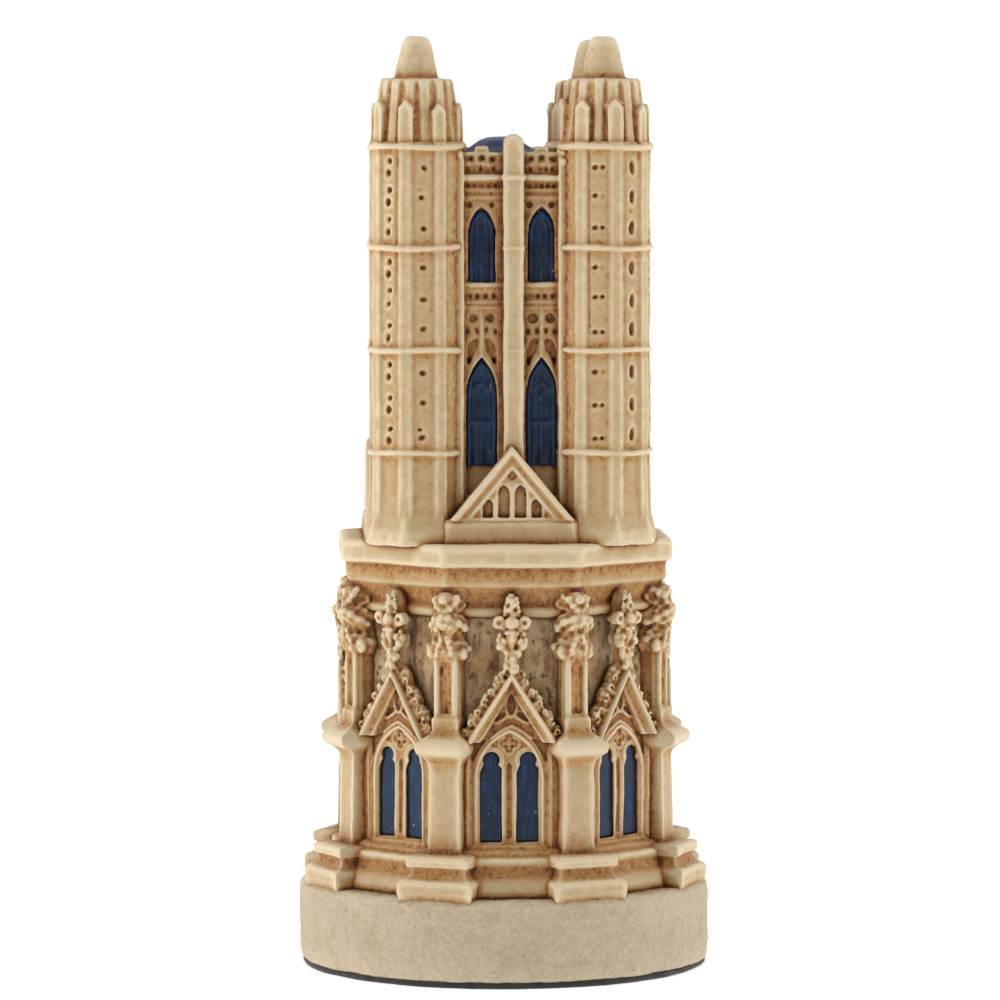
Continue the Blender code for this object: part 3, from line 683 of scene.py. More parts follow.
def crockets(clay, rng):
    """A chain of small leafy knobs up the back of both rakes, swelling into clumps, with curls on it."""
    slope = np.array((-GABLE_HALF, 0, GABLE_APEX - GABLE_FOOT))
    length = math.hypot(slope[0], slope[2])
    across = np.array((slope[2], 0, GABLE_HALF)) / length
    along = slope / length
    start = np.array((GABLE_HALF, 0, GABLE_FOOT))
    for side in (-1, 1):
        for share in np.linspace(0.02, 0.98, 30):
            swell = 0.42 + 0.62 * abs(math.sin(math.pi * (3.6 * share + 0.35))) * (1 - 0.4 * share)
            base = start + slope * share
            for row in (0.15, 0.5, 0.85):
                place = base + across * (swell * row * 1.2 + rng.uniform(-0.1, 0.1))
                place = place + along * rng.uniform(-0.25, 0.25)
                size = rng.uniform(0.17, 0.34)
                out = rng.uniform(17.1, 17.6) - 0.5 * row
                ball(clay, (side * place[0], out, place[2]), (size, size * 1.2, size * rng.uniform(0.8, 1.2)))
            fill = base + across * swell * 0.45
            ball(clay, (side * fill[0], 16.55, fill[2]), (0.52 * swell + 0.08, 0.7, 0.52 * swell + 0.08))
        for share in (0.1, 0.24, 0.38, 0.52, 0.66, 0.8):
            ring = start + slope * share + across * 0.62 + along * rng.uniform(-0.2, 0.2)
            reach = rng.uniform(0.26, 0.36)
            turn = rng.uniform(0, 6)
            angles = np.linspace(turn, turn + 4.6, 9)
            curl = [(ring[0] + reach * math.cos(a), ring[2] + reach * math.sin(a)) for a in angles]
            bead(clay, [(side * x, z) for x, z in curl], 17.5, 0.15)


def finial(clay, rng):
    """A leaf finial: knobby stem, two low lobes, a cup, three balls in a row and a bud of small knobs."""

    def jitter(amount=0.08):
        return rng.uniform(-amount, amount)

    lean = jitter()
    skin = carved_body(clay, FINIAL, 16.3)
    lathe(clay, [(0.2, 35.9), (0.45, 36.6), (0.7, 37.5), (0.84, 37.95), (0.45, 38.15)], 12, (lean, -17.95))
    bead(clay, [(lean - 0.66, 37.72), (lean + 0.66, 37.72)], 18.52, 0.16)
    for side in (-1, 1):
        # side rosettes
        x, z = 1.45 + jitter(), 38.9 + jitter()
        angles = np.linspace(0, 5.6, 11)
        ring = [(side * (x + 0.46 * math.cos(a)) + lean, 18.2, z + 0.46 * math.sin(a)) for a in angles]
        rod(clay, ring, 0.25, 8)
        ball(clay, (side * x + lean, 17.7, z), (0.7, 0.5, 0.7))
        ball(clay, (side * 0.85 + lean, 17.95, 38.25 + jitter()), (0.42, 0.45, 0.34), side * 0.6)
        # low lobes, and the knobs of the stem under them
        ball(clay, (side * (1.1 + jitter()), 17.85, 36.3 + jitter()), (0.58, 0.55, 0.54))
        ball(clay, (side * (1.4 + jitter()), 17.65, 36.95 + jitter()), (0.36, 0.45, 0.42))
        ball(clay, (side * (0.8 + jitter()), 18.1, 36.9 + jitter()), (0.3, 0.35, 0.44), side * 0.5)
        ball(clay, (side * (1.15 + jitter()), 17.75, 37.6 + jitter()), (0.28, 0.3, 0.3))
        ball(clay, (side * 0.62, 17.95, 35.75), (0.36, 0.42, 0.4), side * 0.7)
        for step in range(9):
            knob = (side * rng.uniform(0.1, 0.85), rng.uniform(17.7, 17.95), 33.6 + 0.26 * step)
            ball(clay, knob, rng.uniform(0.2, 0.4))
    for step in range(8):
        ball(clay, (lean + jitter(0.2), 18.05, 33.7 + 0.27 * step), rng.uniform(0.22, 0.36))
    ball(clay, (lean, 18.32, 38.8), (0.76, 0.7, 0.72))
    for x, z, size in ((0.12, 39.7, 0.38), (-0.18, 40.2, 0.38), (0.1, 40.7, 0.36), (-0.06, 41.2, 0.3)):
        ball(clay, (lean + x + jitter(0.05), 18.15, z), size)
    for side in (-1, 1):
        for z in (39.6, 40.05, 40.5, 40.95, 41.4):
            place = (lean + side * (0.72 - 0.2 * abs(z - 40.1)), 17.95, z + jitter())
            ball(clay, place, rng.uniform(0.18, 0.27))
    for _ in range(24):
        z = rng.uniform(35.8, 41.5)
        x = rng.uniform(-0.8, 0.8) * np.interp(z, [s[0] for s in FINIAL], [s[1] for s in FINIAL])
        ball(clay, (x, skin(x, z) + 0.05, z), rng.uniform(0.14, 0.26))


def gable(rng):
    clay = Clay()
    # an outer roll, a sloping face and a thin inner roll
    profile = [(0.0, 15.5), (0.0, 17.9), (0.12, 18.25), (0.32, 18.36), (0.5, 18.2), (0.6, 17.9)]
    profile += [(0.98, 17.35), (1.08, 17.5), (1.22, 17.5), (1.32, 17.25), (1.34, 15.5)]
    rakes(clay, profile, GABLE_HALF, GABLE_FOOT, GABLE_APEX)
    ring = [(GABLE_HALF - 0.5, GABLE_FOOT), (0, GABLE_APEX - 0.8), (-GABLE_HALF + 0.5, GABLE_FOOT)]
    under = [(x, z) for x, z in reversed(pointed_head(0, 3.9, ARCH_SPRING, 27.4)) if z > GABLE_FOOT]
    slab(clay, WALL_OUT - 0.2, GROUND_OUT + 0.78, ring + under)
    # net of thin ribs over the sunk ground: a dagger, two triangles and their webs
    ribs = (
        ([(0, 31.6), (0.45, 30.6), (0.62, 29.7), (0.4, 28.95), (0, 28.6)], 4, 0.16, 0.2),
        ([(0.3, 28.75), (0.9, 28.35), (1.7, 27.95), (2.4, 28.1)], 4, 0.16, 0.2),
        ([(0.6, 29.5), (1.0, 29.25), (1.6, 29.35)], 3, 0.2, 0.17),
        ([(2.2, 28.1), (2.5, 27.2), (3.2, 26.4)], 3, 0.2, 0.18),
    )
    for side in (-1, 1):
        for knots, steps, sunk, size in ribs:
            bead(clay, smooth_path([(side * x, z) for x, z in knots], steps), FRAME_OUT - sunk, size)
    head = [(x, z) for x, z in pointed_head(0, 3.97, ARCH_SPRING, 27.6) if z > GABLE_FOOT]
    bead(clay, head, FRAME_OUT - 0.2, 0.22)
    crockets(clay, rng)
    finial(clay, rng)
    return clay


def bays():
    for number, shift in enumerate(WINDOW_SHIFT):
        angle = number * SIDE_TURN
        clay = window().shifted(shift).turned(angle)
        fused(f"window_carving_{number + 1}", clay, "resin", f"window_frame_{number + 1}", 0.11)
        clay = gable(np.random.default_rng(200 + number)).turned(angle)
        leafy = (33.8, 42.2, 60 + number)
        fused(f"gable_carving_{number + 1}", clay, "resin", f"gable_{number + 1}", 0.11, leafy=leafy)


def lower_panes():
    """Brushed blue paint on the recessed ground of each light, a little uneven at its edge."""
    made = []
    for number, shift in enumerate(WINDOW_SHIFT):
        clay = Clay()
        for x in (-LIGHT_X, LIGHT_X):
            slab(clay, GROUND_OUT - 0.3, GROUND_OUT + 0.52, light_outline(x + shift))
        name, node = f"painted_lights_{number + 1}", f"window_glass_{number + 1}"
        made.append(fused(name, clay.turned(number * SIDE_TURN), "window_paint", node, 0.2, 1, BRUSHED))
    return made


def cornice():
    clay = Clay()
    profile = [(BACK, CORNICE_FOOT - 0.2)]
    profile += roll(CORNICE_FOOT - 0.05, 40.45, 15.9, 16.55)
    profile += [(15.95, 40.6), (16.0, 40.9), (16.25, 41.6), (16.65, 42.2), (17.1, 42.55), (17.35, 42.68)]
    profile += [(17.35, 42.8), (17.3, 44.3), (17.2, 44.5), (17.2, 44.62), (17.85, 44.72), (18.05, 44.95)]
    profile += [(18.05, 46.75), (17.9, 47.0), (17.6, SLAB_TOP), (10.0, SLAB_TOP)]
    octagon(clay, profile)
    fused("cornice_carving", clay, "resin", "cornice", 0.21, 3)


# ---- the tower ----

BAY_LANCETS = (-3.15, 3.3)
LOWER_LANCET = (1.78, 52.0, 62.9, 67.2)
UPPER_LANCET = (1.55, 74.8, 80.2, 83.4)
LOWER_PANE_FOOT = 55.3
PARAPET_TOP = 88.95
CROWN_TOP = 96.9
PANEL_KINDS = (
    ("smears", "rough", "spots", "smears", "rough", "spots", "loops", "slits"),
    ("spots", "rough", "slits", "spots", "rough", "smears", "slits", "loops"),
    ("loops", "rough", "spots", "slits", "rough", "spots", "smears", "loops"),
    ("smears", "rough", "slits", "loops", "rough", "loops", "spots", "smears"),
)


def podium():
    clay = Clay()
    near, far, top = 6.9, 15.6, PODIUM_TOP + 0.35
    plan = [(near, -far), (far, -near), (far, near), (near, far)]
    plan += [(-x, -y) for x, y in plan]
    levels = ((46.8, 1.0), (top - 0.5, 0.985), (top, 0.955))
    rings_to_clay(clay, [[(x * s, y * s, z) for x, y in plan] for z, s in levels])
    fused("podium_carving", clay, "resin", "tower_podium", 0.2, 3)


def core():
    clay = Clay()
    block(clay, 0, 10.8, -10.8, 10.8, 48, 87.7)
    fused("tower_body", clay, "resin", "tower_core", 0.34, 2)


def roof():
    """The low painted roof: a small hump, a little left of the middle, behind the parapets."""
    clay = Clay()
    rings = []
    profile = ((87.3, 10.9), (88.1, 10.8), (88.35, 7.0), (88.75, 4.8), (89.3, 3.7), (89.9, 2.8), (90.35, 2.1))
    for z, half in (*profile, (ROOF_PEAK, 1.2)):
        shift = 0.75 * max(0.0, 1 - half / 8)
        angles = np.arange(24) * math.tau / 24
        rings.append([(half * math.cos(a) - shift, half * math.sin(a), z) for a in angles])
    rings_to_clay(clay, rings)
    block(clay, 0, 10.9, -10.9, 10.9, 87.4, 88.2)
    return fused("painted_roof", clay, "roof_paint", "roof", 0.2, 4, ((3.0, 0.14), (1.2, 0.08), (0.4, 0.02)))


def bay(clay, x, half, mid, rng, sunk):
    """One bay of a tower face: two lancets, net tracery, friezes and the parapet over it."""
    low = PODIUM_TOP - 0.5
    edge = rectangle(x - half, x + half, low, 86.6)
    lower = lancet(mid, *LOWER_LANCET, 12)
    upper = lancet(mid, *UPPER_LANCET, 12)
    eyes = [circle(mid - 0.92, 71.15, 0.66), circle(mid + 0.92, 71.15, 0.64)]
    eyes += [circle(mid - 1.3, 83.35, 0.48), circle(mid + 1.1, 83.35, 0.44)]
    holes = [lower, upper, *eyes]
    leaf = [(0.3, 68.8), (0.75, 69.0), (1.3, 68.6), (1.6, 67.7), (1.62, 66.6)]
    leaf += [(1.5, 65.7), (1.2, 66.4), (0.8, 67.2), (0.38, 67.9)]
    for side in (-1, 1):
        holes.append(oval(mid + side * 0.5, 69.85, 0.22, 0.46, side * -0.2))
        holes.append(oval(mid + side * 1.5, 69.75, 0.24, 0.42))
        holes.append([(mid + side * px, pz) for px, pz in closed_curve(leaf)][::side])
    for step in (-1.35, -0.45, 0.45, 1.35):
        place = mid + step * 0.95 + rng.uniform(-0.1, 0.1)
        holes.append(oval(place, 73.55, rng.uniform(0.22, 0.3), rng.uniform(0.26, 0.34)))
    for step in (-1.4, -0.72, 0.0, 0.7, 1.4):
        holes.append(oval(mid + step * half / 2, 85.4 + rng.uniform(-0.05, 0.05), 0.2, 0.28))
    slab(clay, 9.8, 10.75, edge)
    slab(clay, TOWER_BACK, 11.1, [(x - half, low), (x + half, low), (x + half, 55.2), (x - half, 55.6)])
    slab(clay, 10.4, BAY_OUT, edge, *holes)
    for eye in eyes:
        bead(clay, eye, BAY_OUT - 0.06, 0.11, closed=True)
    # shallow grounds behind the net tracery and the small openings
    for wide, foot, head in ((1.8, 67.0, 72.2), (1.8, 82.8, 83.9), (1.9, 73.0, 74.1), (1.9, 84.9, 85.8)):
        block(clay, mid, wide, 10.3, BAY_OUT - sunk, foot, head)
    arch_bead(clay, lower, BAY_OUT - 0.02, 0.16)
    arch_bead(clay, upper, BAY_OUT - 0.04, 0.14)
    rod(clay, [(mid, BAY_OUT, 67.2), (mid, BAY_OUT, 72.1)], 0.2)
    for z in (72.35, 72.9, 74.1, 84.15, 84.95, 85.85):
        string(clay, x, half, BAY_OUT + 0.06, z, 0.15)
    rod(clay, [(x - half, BAY_OUT + 0.12, 74.72), (x + half, BAY_OUT + 0.12, 74.78)], 0.3)
    # parapet: two rows of small openings under a battlement
    left, right = x - half - 0.3, x + half + 0.3
    outline = [(left, 86.2), (right, 86.2), (right, PARAPET_TOP), (mid + 0.75, PARAPET_TOP)]
    outline += [(mid + 0.7, 89.6), (mid - 0.7, 89.6), (mid - 0.75, PARAPET_TOP), (left, PARAPET_TOP)]
    gaps = [oval(mid + step * half / 2, 87.15, 0.19, 0.34) for step in (-1.35, -0.75, -0.1, 0.55, 1.2)]
    gaps += [oval(mid - 1.2, 88.3, 0.34, 0.3, 0.3), oval(mid, 88.4, 0.32, 0.4)]
    gaps.append(oval(mid + 1.2, 88.25, 0.4, 0.26, -0.2))
    slab(clay, TOWER_BACK, BAY_OUT - 0.28, [(p, q - 0.12) for p, q in outline])
    slab(clay, 10.6, BAY_OUT + 0.05, outline, *gaps)
    for step in np.linspace(-half, half, 9):
        knob = (x + step, BAY_OUT + rng.uniform(0.0, 0.12), 87.7 + rng.uniform(-0.12, 0.12))
        ball(clay, knob, rng.uniform(0.16, 0.26))
    string(clay, x, half + 0.3, BAY_OUT + 0.1, 88.85, 0.15)
    merlon = [(mid - 0.62, 87.9), (mid - 0.62, 89.45), (mid + 0.62, 89.45), (mid + 0.62, 87.9)]
    bead(clay, merlon, BAY_OUT + 0.08, 0.15)


def tower_face(rng, head_drop):
    """Two bays, the middle buttress with its round head, and the worn strips beside the turrets."""
    clay = Clay()
    bay(clay, -3.0, 2.2, BAY_LANCETS[0], rng, 0.34)
    bay(clay, 3.2, 1.9, BAY_LANCETS[1], rng, 0.36)
    foot = PODIUM_TOP - 0.4
    left, right = BUTTRESS_X - BUTTRESS_HALF, BUTTRESS_X + BUTTRESS_HALF
    head = arc((BUTTRESS_X, BUTTRESS_TOP - 0.72 - head_drop), BUTTRESS_HALF, 0, 180, 12)
    slab(clay, TOWER_BACK, 13.2, [(left, foot), (right, foot), *head])
    for z, size in ((67.75, 0.15), (78.75, 0.17), (86.3, 0.28)):
        string(clay, BUTTRESS_X, 1.12, 13.14, z, size)
    for path in (
        [(-5.3, 86.25), (-3.0, 86.3), (BUTTRESS_X - 1.0, 86.3)],
        [(BUTTRESS_X + 1.0, 86.3), (3.0, 86.25), (5.3, 86.2)],
    ):
        rod(clay, [(x, BAY_OUT + 0.35, z) for x, z in path], 0.33)
    for side in (-1, 1):
        stack(clay, [(foot, 0.62, 12.75), (88.2, 0.6, 12.65), (89.0, 0.45, 12.2)], TOWER_BACK, side * 5.72)
        stack(clay, [(foot, 0.9, 12.0), (88.0, 0.9, 12.0)], TOWER_BACK, side * 6.3)
        for z in np.arange(52.0, 89.0, 0.62):
            knob = (side * rng.uniform(6.45, 7.0), rng.uniform(11.9, 12.3), z)
            ball(clay, knob, (rng.uniform(0.2, 0.38), 0.3, rng.uniform(0.25, 0.5)))
        for _ in range(12):
            knob = (side * rng.uniform(5.2, 6.9), rng.uniform(11.9, 12.7), rng.uniform(87.6, 89.7))
            ball(clay, knob, rng.uniform(0.25, 0.48))
    return clay


def tower_faces():
    """The buttress at the back is lower, because it doesn't show over the roof."""
    for number in range(4):
        clay = tower_face(np.random.default_rng(300 + number), BACK_BUTTRESS_DROP if number == 2 else 0.0)
        clay = clay.on_tower(number * QUARTER)
        fused(f"tower_front_{number + 1}", clay, "resin", f"tower_face_{number + 1}", 0.16)


def tower_panes():
    """Blue lancets with the moulding, mullion and transom that the paint covers."""
    made = []
    for number in range(4):
        clay = Clay()
        for x in BAY_LANCETS:
            for (w, foot, spring, apex), transom in ((LOWER_LANCET, 60.0), (UPPER_LANCET, None)):
                if transom:
                    foot = LOWER_PANE_FOOT
                slab(clay, 10.4, PANE_OUT + 0.1, lancet(x, w + 0.08, foot, spring, apex + 0.5, 12))
                arch_bead(clay, lancet(x, w - 0.42, foot, spring, apex - 0.9, 12), PANE_OUT + 0.18, 0.3)
                bead(clay, [(x, foot), (x, 63.4 if transom else spring - 0.5)], PANE_OUT + 0.12, 0.2)
                if transom:
                    bead(clay, [(x - w, transom), (x + w, transom)], PANE_OUT + 0.12, 0.2)
                    bead(clay, arc((x, 63.4), 0.75, 0, 180, 8), PANE_OUT + 0.1, 0.16)
                    bead(clay, circle(x, 65.0, 0.45), PANE_OUT + 0.08, 0.14, closed=True)
        name, node = f"painted_lancets_{number + 1}", f"tower_glass_{number + 1}"
        made.append(fused(name, clay.on_tower(number * QUARTER), "window_paint", node, 0.18, 1, BRUSHED))
    return made


def pediment():
    clay = Clay()
    foot, half, apex = 49.6, 6.65, 57.6
    slab(clay, 12.6, 14.2, [(-half, foot), (half, foot), (0, apex)])
    # the thick rakes: an outer fillet, a hollow and an inner roll
    profile = [(0.0, 13.0), (0.0, 15.2), (0.12, 15.45), (0.5, 15.5), (0.66, 15.3), (0.8, 15.1), (1.1, 15.05)]
    profile += [(1.2, 15.15), (1.5, 15.2), (1.68, 14.95), (1.72, 13.0)]
    rakes(clay, profile, half, foot, apex)
    # ribs of the field: two tall and two short niches, and a sunk boss over them
    length = math.hypot(half, apex - foot)
    tall = lancet(0.9, 0.72, foot + 0.2, 52.5, 53.5)
    short = lancet(2.62, 0.66, foot + 0.2, 51.2, 51.95)
    inner = half - 1.6 * length / (apex - foot)
    field = [(-inner, foot + 0.1), (inner, foot + 0.1), (0, apex - 1.6 * length / half)]
    holes = [tall, short, [(3.6, foot + 0.35), (4.55, foot + 0.35), (3.7, foot + 1.25)]]
    holes += [[(-x, z) for x, z in reversed(hole)] for hole in holes]
    slab(clay, 13.6, 14.8, field, *holes, circle(0, 54.35, 0.5, 6))
    ball(clay, (0, 14.2, 54.35), (0.5, 0.4, 0.5))
    for niche in (tall, short):
        for flip in (-1, 1):
            arch_bead(clay, [(flip * x, z) for x, z in niche], 14.78, 0.13)
    string(clay, 0, half - 0.3, 14.9, foot, 0.3)
    return clay


def pediments():
    for number in range(4):
        clay = pediment().on_tower(number * QUARTER)
        fused(f"pediment_carving_{number + 1}", clay, "resin", f"pediment_{number + 1}", 0.13, 2)


def panel_marks(kind, rng, low, high):
    """Worn blind tracery of one sunk turret panel: pits, and raised loops round slits."""
    holes = []
    ridges = Clay()
    span = (high - low) / 3
    out = PANEL_OUT - 0.04
    draw = rng.uniform
    for step in range(3):
        z = low + span * (step + 0.5) + draw(-0.25, 0.25)
        if kind == "spots":
            holes.append(oval(draw(-0.2, 0.2), z, draw(0.34, 0.46), 0.3, draw(-0.5, 0.5), 8))
            if draw() > 0.5:
                holes.append(oval(draw(-0.35, 0.35), z + 0.85, 0.26, 0.2, 0, 8))
            bead(ridges, smooth_path([(-0.6, z - 1.05), (0.0, z - 1.25), (0.6, z - 1.1)], 3), out, 0.08)
        elif kind == "loops":
            for x, lift, tall in ((-0.08, 0.75, 0.42), (0.1, -0.55, 0.6)):
                holes.append(oval(x, z + lift, draw(0.24, 0.34), tall * draw(0.6, 0.95), draw(-0.4, 0.4), 8))
                loop = oval(x, z + lift, 0.5, tall + draw(0, 0.25), draw(-0.2, 0.2), 12)
                bead(ridges, loop, out, 0.16, closed=True)
            for _ in range(3):
                ball(ridges, (draw(-0.7, 0.7), out, z + draw(-1.5, 1.5)), draw(0.12, 0.24))
        elif kind == "slits":
            holes.append(oval(0, z, 0.3, 0.78, draw(-0.12, 0.12), 10))
            holes.append(oval(draw(-0.3, 0.3), z - span * 0.46, 0.2, 0.15, 0, 7))
            bead(ridges, oval(0, z, 0.47, 1.1), out, 0.15, closed=True)
            ball(ridges, (0.0, out, z + span * 0.42), (0.5, 0.14, 0.26))
        elif kind == "smears":
            holes.append(oval(-0.34, z, 0.36, 0.27, 0.25, 8))
            holes.append(oval(0.42, z + 0.04, 0.28, 0.25, -0.3, 8))
            for _ in range(3):
                x = rng.choice([-0.5, 0.0, 0.5]) + draw(-0.1, 0.1)
                holes.append(circle(x, z - draw(0.55, 1.3), 0.17, 6))
            bead(ridges, [(-0.7, z + 0.3), (-0.2, z + 0.36), (0.25, z + 0.3), (0.7, z + 0.36)], out, 0.11)
        else:
            for _ in range(6):
                holes.append(circle(draw(-0.6, 0.6), z + draw(-span, span) / 2.2, draw(0.12, 0.2), 6))
            for _ in range(8):
                spot = (draw(-0.8, 0.8), out, z + draw(-1.8, 1.8))
                ball(ridges, spot, (draw(0.15, 0.35), 0.12, draw(0.2, 0.5)))
    return holes, ridges


def separate(holes, low, high):
    """The holes that keep clear of the ones before them, less those that leave the heights low to high."""
    kept = []
    boxes = []
    for hole in holes:
        first, last = np.min(hole, axis=0), np.max(hole, axis=0)
        if all((first - 0.08 > b).any() or (last + 0.08 < a).any() for a, b in boxes):
            boxes.append((first, last))
            if first[1] > low and last[1] < high:
                kept.append(hole)
    return kept


def turret(rng, twist, number):
    """The +X, -Y turret about its own axis: ribs, sunk panels with worn tracery, and ring bands."""
    clay = Clay()
    lathe(clay, [(4.52, SLAB_TOP - 0.3), (4.52, CROWN_FOOT)], 32)
    skirt = [(5.95, SLAB_TOP - 0.3), (5.9, 48.4), (5.6, 49.3), (5.35, 50.3), (5.22, 52.4), (5.15, 57.0)]
    lathe(clay, skirt, SIDES, phase=twist)
    for z in BANDS:
        wave = rng.uniform(0, 6)
        path = []
        for a in np.arange(33) * math.tau / 32:
            radius = 5.1 + 0.05 * math.sin(2 * a + wave)
            path.append((radius * math.cos(a), radius * math.sin(a), z + 0.08 * math.sin(3 * a + wave)))
        rod(clay, path, 0.33)
    for rib in range(SIDES):
        one = Clay()
        bar(one, [(48.0, 0.95, 5.3), (56.5, 0.88, 5.2), (CROWN_FOOT, 0.84, 5.14)], 3.5, 0.3)
        panel = Clay()
        block(panel, 0, 0.8, 3.6, PANEL_OUT, BANDS[-1] - 0.2, CROWN_FOOT)
        for low, high in zip((56.3, *BANDS[1:]), BANDS[1:]):
            holes, ridges = panel_marks(PANEL_KINDS[number][rib], rng, low + 0.5, high - 0.4)
            holes = separate(holes, low + 0.1, high - 0.1)
            slab(panel, 3.6, PANEL_OUT, rectangle(-0.8, 0.8, low, high), *holes)
            panel.join(ridges)
        angle = twist + QUARTER + rib * SIDE_TURN
        clay.join(one.turned(angle))
        clay.join(panel.turned(angle + SIDE_TURN / 2))
    return clay


def turret_cap(rng, twist):
    """Fluted crown, pointed pilasters and a blunt cone."""
    clay = Clay()
    top = CROWN_TOP
    lathe(clay, [(4.5, CROWN_FOOT - 0.4), (3.7, top - 0.4), (3.5, top - 0.1)], 32)
    flutes = 15
    for flute in range(flutes):
        a = (flute + rng.uniform(0.42, 0.58)) * math.tau / flutes
        one = Clay()
        wide = 0.54 + rng.uniform(-0.08, 0.08)
        tip = top + rng.uniform(-0.15, 0.05)
        sections = [(CROWN_FOOT - 0.3, wide, 4.75), (93.0, wide, 4.35)]
        bar(one, [*sections, (tip - 0.35, wide, 4.0), (tip, wide - 0.1, 3.75)], 2.6, 0.2)
        clay.join(one.turned(a))
    lathe(clay, [(3.5, top - 0.6), (3.4, top - 0.1), (2.6, top + 0.05)], 24)
    for rib in range(SIDES):
        one = Clay()
        tip = 94.5 + rng.uniform(-0.35, 0.3)
        lean = rng.uniform(-0.12, 0.12)
        foot = CROWN_FOOT - 0.3
        sides = [(-0.82, foot), (0.82, foot), (0.8, tip - 0.85)]
        slab(one, 3.4, 4.92, [*sides, (lean, tip), (-0.8, tip - 0.85)])
        clay.join(one.turned(twist + QUARTER + rib * SIDE_TURN))
    for _ in range(30):
        a = rng.uniform(0, math.tau)
        z = rng.uniform(90.4, 95.5)
        reach = 4.45 - 0.1 * (z - 90)
        ball(clay, (reach * math.cos(a), reach * math.sin(a), z), rng.uniform(0.16, 0.3))
    cone = [(2.36, top - 0.6), (2.34, top), (2.24, 97.4), (2.02, 98.6), (1.76, 99.8), (1.56, 100.6)]
    cone += [(1.42, 101.0), (1.18, 101.3), (0.75, CAP_TOP - 0.02)]
    lathe(clay, cone, 32)
    return clay


def turrets():
    """The left ones are mirrored, the rear ones turned to the back, and the last is set in a little."""
    places = ((True, 0, 16.3, 0), (False, 0, 12.5, 0), (True, math.pi, 14.0, 0), (False, math.pi, 13.0, 0.4))
    for number, (mirror, turn, twist, set_in) in enumerate(places):
        seed, twist = 401 + number, math.radians(twist)
        body = turret(np.random.default_rng(seed), twist, number)
        cap = turret_cap(np.random.default_rng(seed), twist)
        carvings = ((body, "turret_carving", "turret", 0.16), (cap, "turret_crown", "turret_cap", 0.13))
        for shape, name, node, grain in carvings:
            clay = shape.shifted(TURRET_AT, -TURRET_AT)
            clay = (clay.flipped() if mirror else clay).on_tower(turn).shifted(set_in)
            fused(f"{name}_{number + 1}", clay, "resin", f"{node}_{number + 1}", grain, 1, WORN_MORE)


# ---- the wash: how deep each point of the casting lies in the whole figure ----

CELL = 0.22 * 1.0
GRID_LOW = np.array([-24.0, -24.0, -1.0]) + 0.0137
GRID_SIZE = (np.array([48.0, 48.0, 104.0]) / CELL).astype(int) + 1
SUBSAMPLES = ((-0.375, -0.125), (-0.125, 0.375), (0.125, -0.375), (0.375, 0.125))


def solid_grid(items):
    """How much of each grid cell is inside the items, by counting surfaces crossed upward."""
    triangles = []
    for item in items:
        mesh = item.data
        mesh.calc_loop_triangles()
        points, _ = mesh_arrays(mesh)
        index = np.empty(len(mesh.loop_triangles) * 3, np.int32)
        mesh.loop_triangles.foreach_get("vertices", index)
        triangles.append((points[index].reshape(-1, 3, 3) - GRID_LOW) / CELL)
    total = np.zeros(GRID_SIZE, np.float32)
    for x, y in SUBSAMPLES:
        change = np.zeros(GRID_SIZE, np.float32)
        for corners in triangles:
            mark_crossings(change, corners - (x, y, -0.5))
        total += np.clip(np.cumsum(change, axis=2), 0, 1) / len(SUBSAMPLES)
    return total


def mark_crossings(change, corners):
    """Adds to each column the steps in and out of a solid where its triangles cross the column."""
    flat = corners[:, :, :2]
    first = np.ceil(flat.min(axis=1)).astype(int)
    last = np.floor(flat.max(axis=1)).astype(int)
    reach = np.maximum(last - first, -1)
    for dx in range(int(reach[:, 0].max()) + 1):
        for dy in range(int(reach[:, 1].max()) + 1):
            pick = (reach[:, 0] >= dx) & (reach[:, 1] >= dy)
            if not pick.any():
                continue
            a = corners[pick, 0]
            (bx, by, bz), (cx, cy, cz) = (corners[pick, 1] - a).T, (corners[pick, 2] - a).T
            column = first[pick] + (dx, dy)
            px, py = (column - a[:, :2]).T
            area = bx * cy - by * cx
            safe = np.where(area == 0, 1, area)
            wb = (px * cy - py * cx) / safe
            wc = (bx * py - by * px) / safe
            inside = (area != 0) & (wb >= 0) & (wc >= 0) & (wb + wc < 1)
            z = np.clip((a[:, 2] + wb * bz + wc * cz)[inside], 0, change.shape[2] - 2)
            cell = z.astype(int)
            part = z - cell
            sign = np.where(area[inside] > 0, -1.0, 1.0)
            x, y = column[inside].T
            np.add.at(change, (x, y, cell), sign * (1 - part))
            np.add.at(change, (x, y, cell + 1), sign * part)


def blurred(grid, width):
    """The grid after three box blurs of about the given width, in units."""
    radius = max(1, round(width / CELL))
    span = 2 * radius + 1
    for axis in (0, 1, 2) * 3:
        pad = [(0, 0)] * 3
        pad[axis] = (radius + 1, radius)
        total = np.cumsum(np.pad(grid, pad, mode="edge"), axis=axis, dtype=np.float32)
        ahead = np.take(total, np.arange(span, total.shape[axis]), axis=axis)
        behind = np.take(total, np.arange(0, total.shape[axis] - span), axis=axis)
        grid = (ahead - behind) / span
    return grid


def sampled(grid, points):
    """The grid's value at each point."""
    where = np.clip((points - GRID_LOW) / CELL, 0, np.array(grid.shape) - 1.001)
    cell = where.astype(int)
    return trilinear(grid, cell, where - cell)


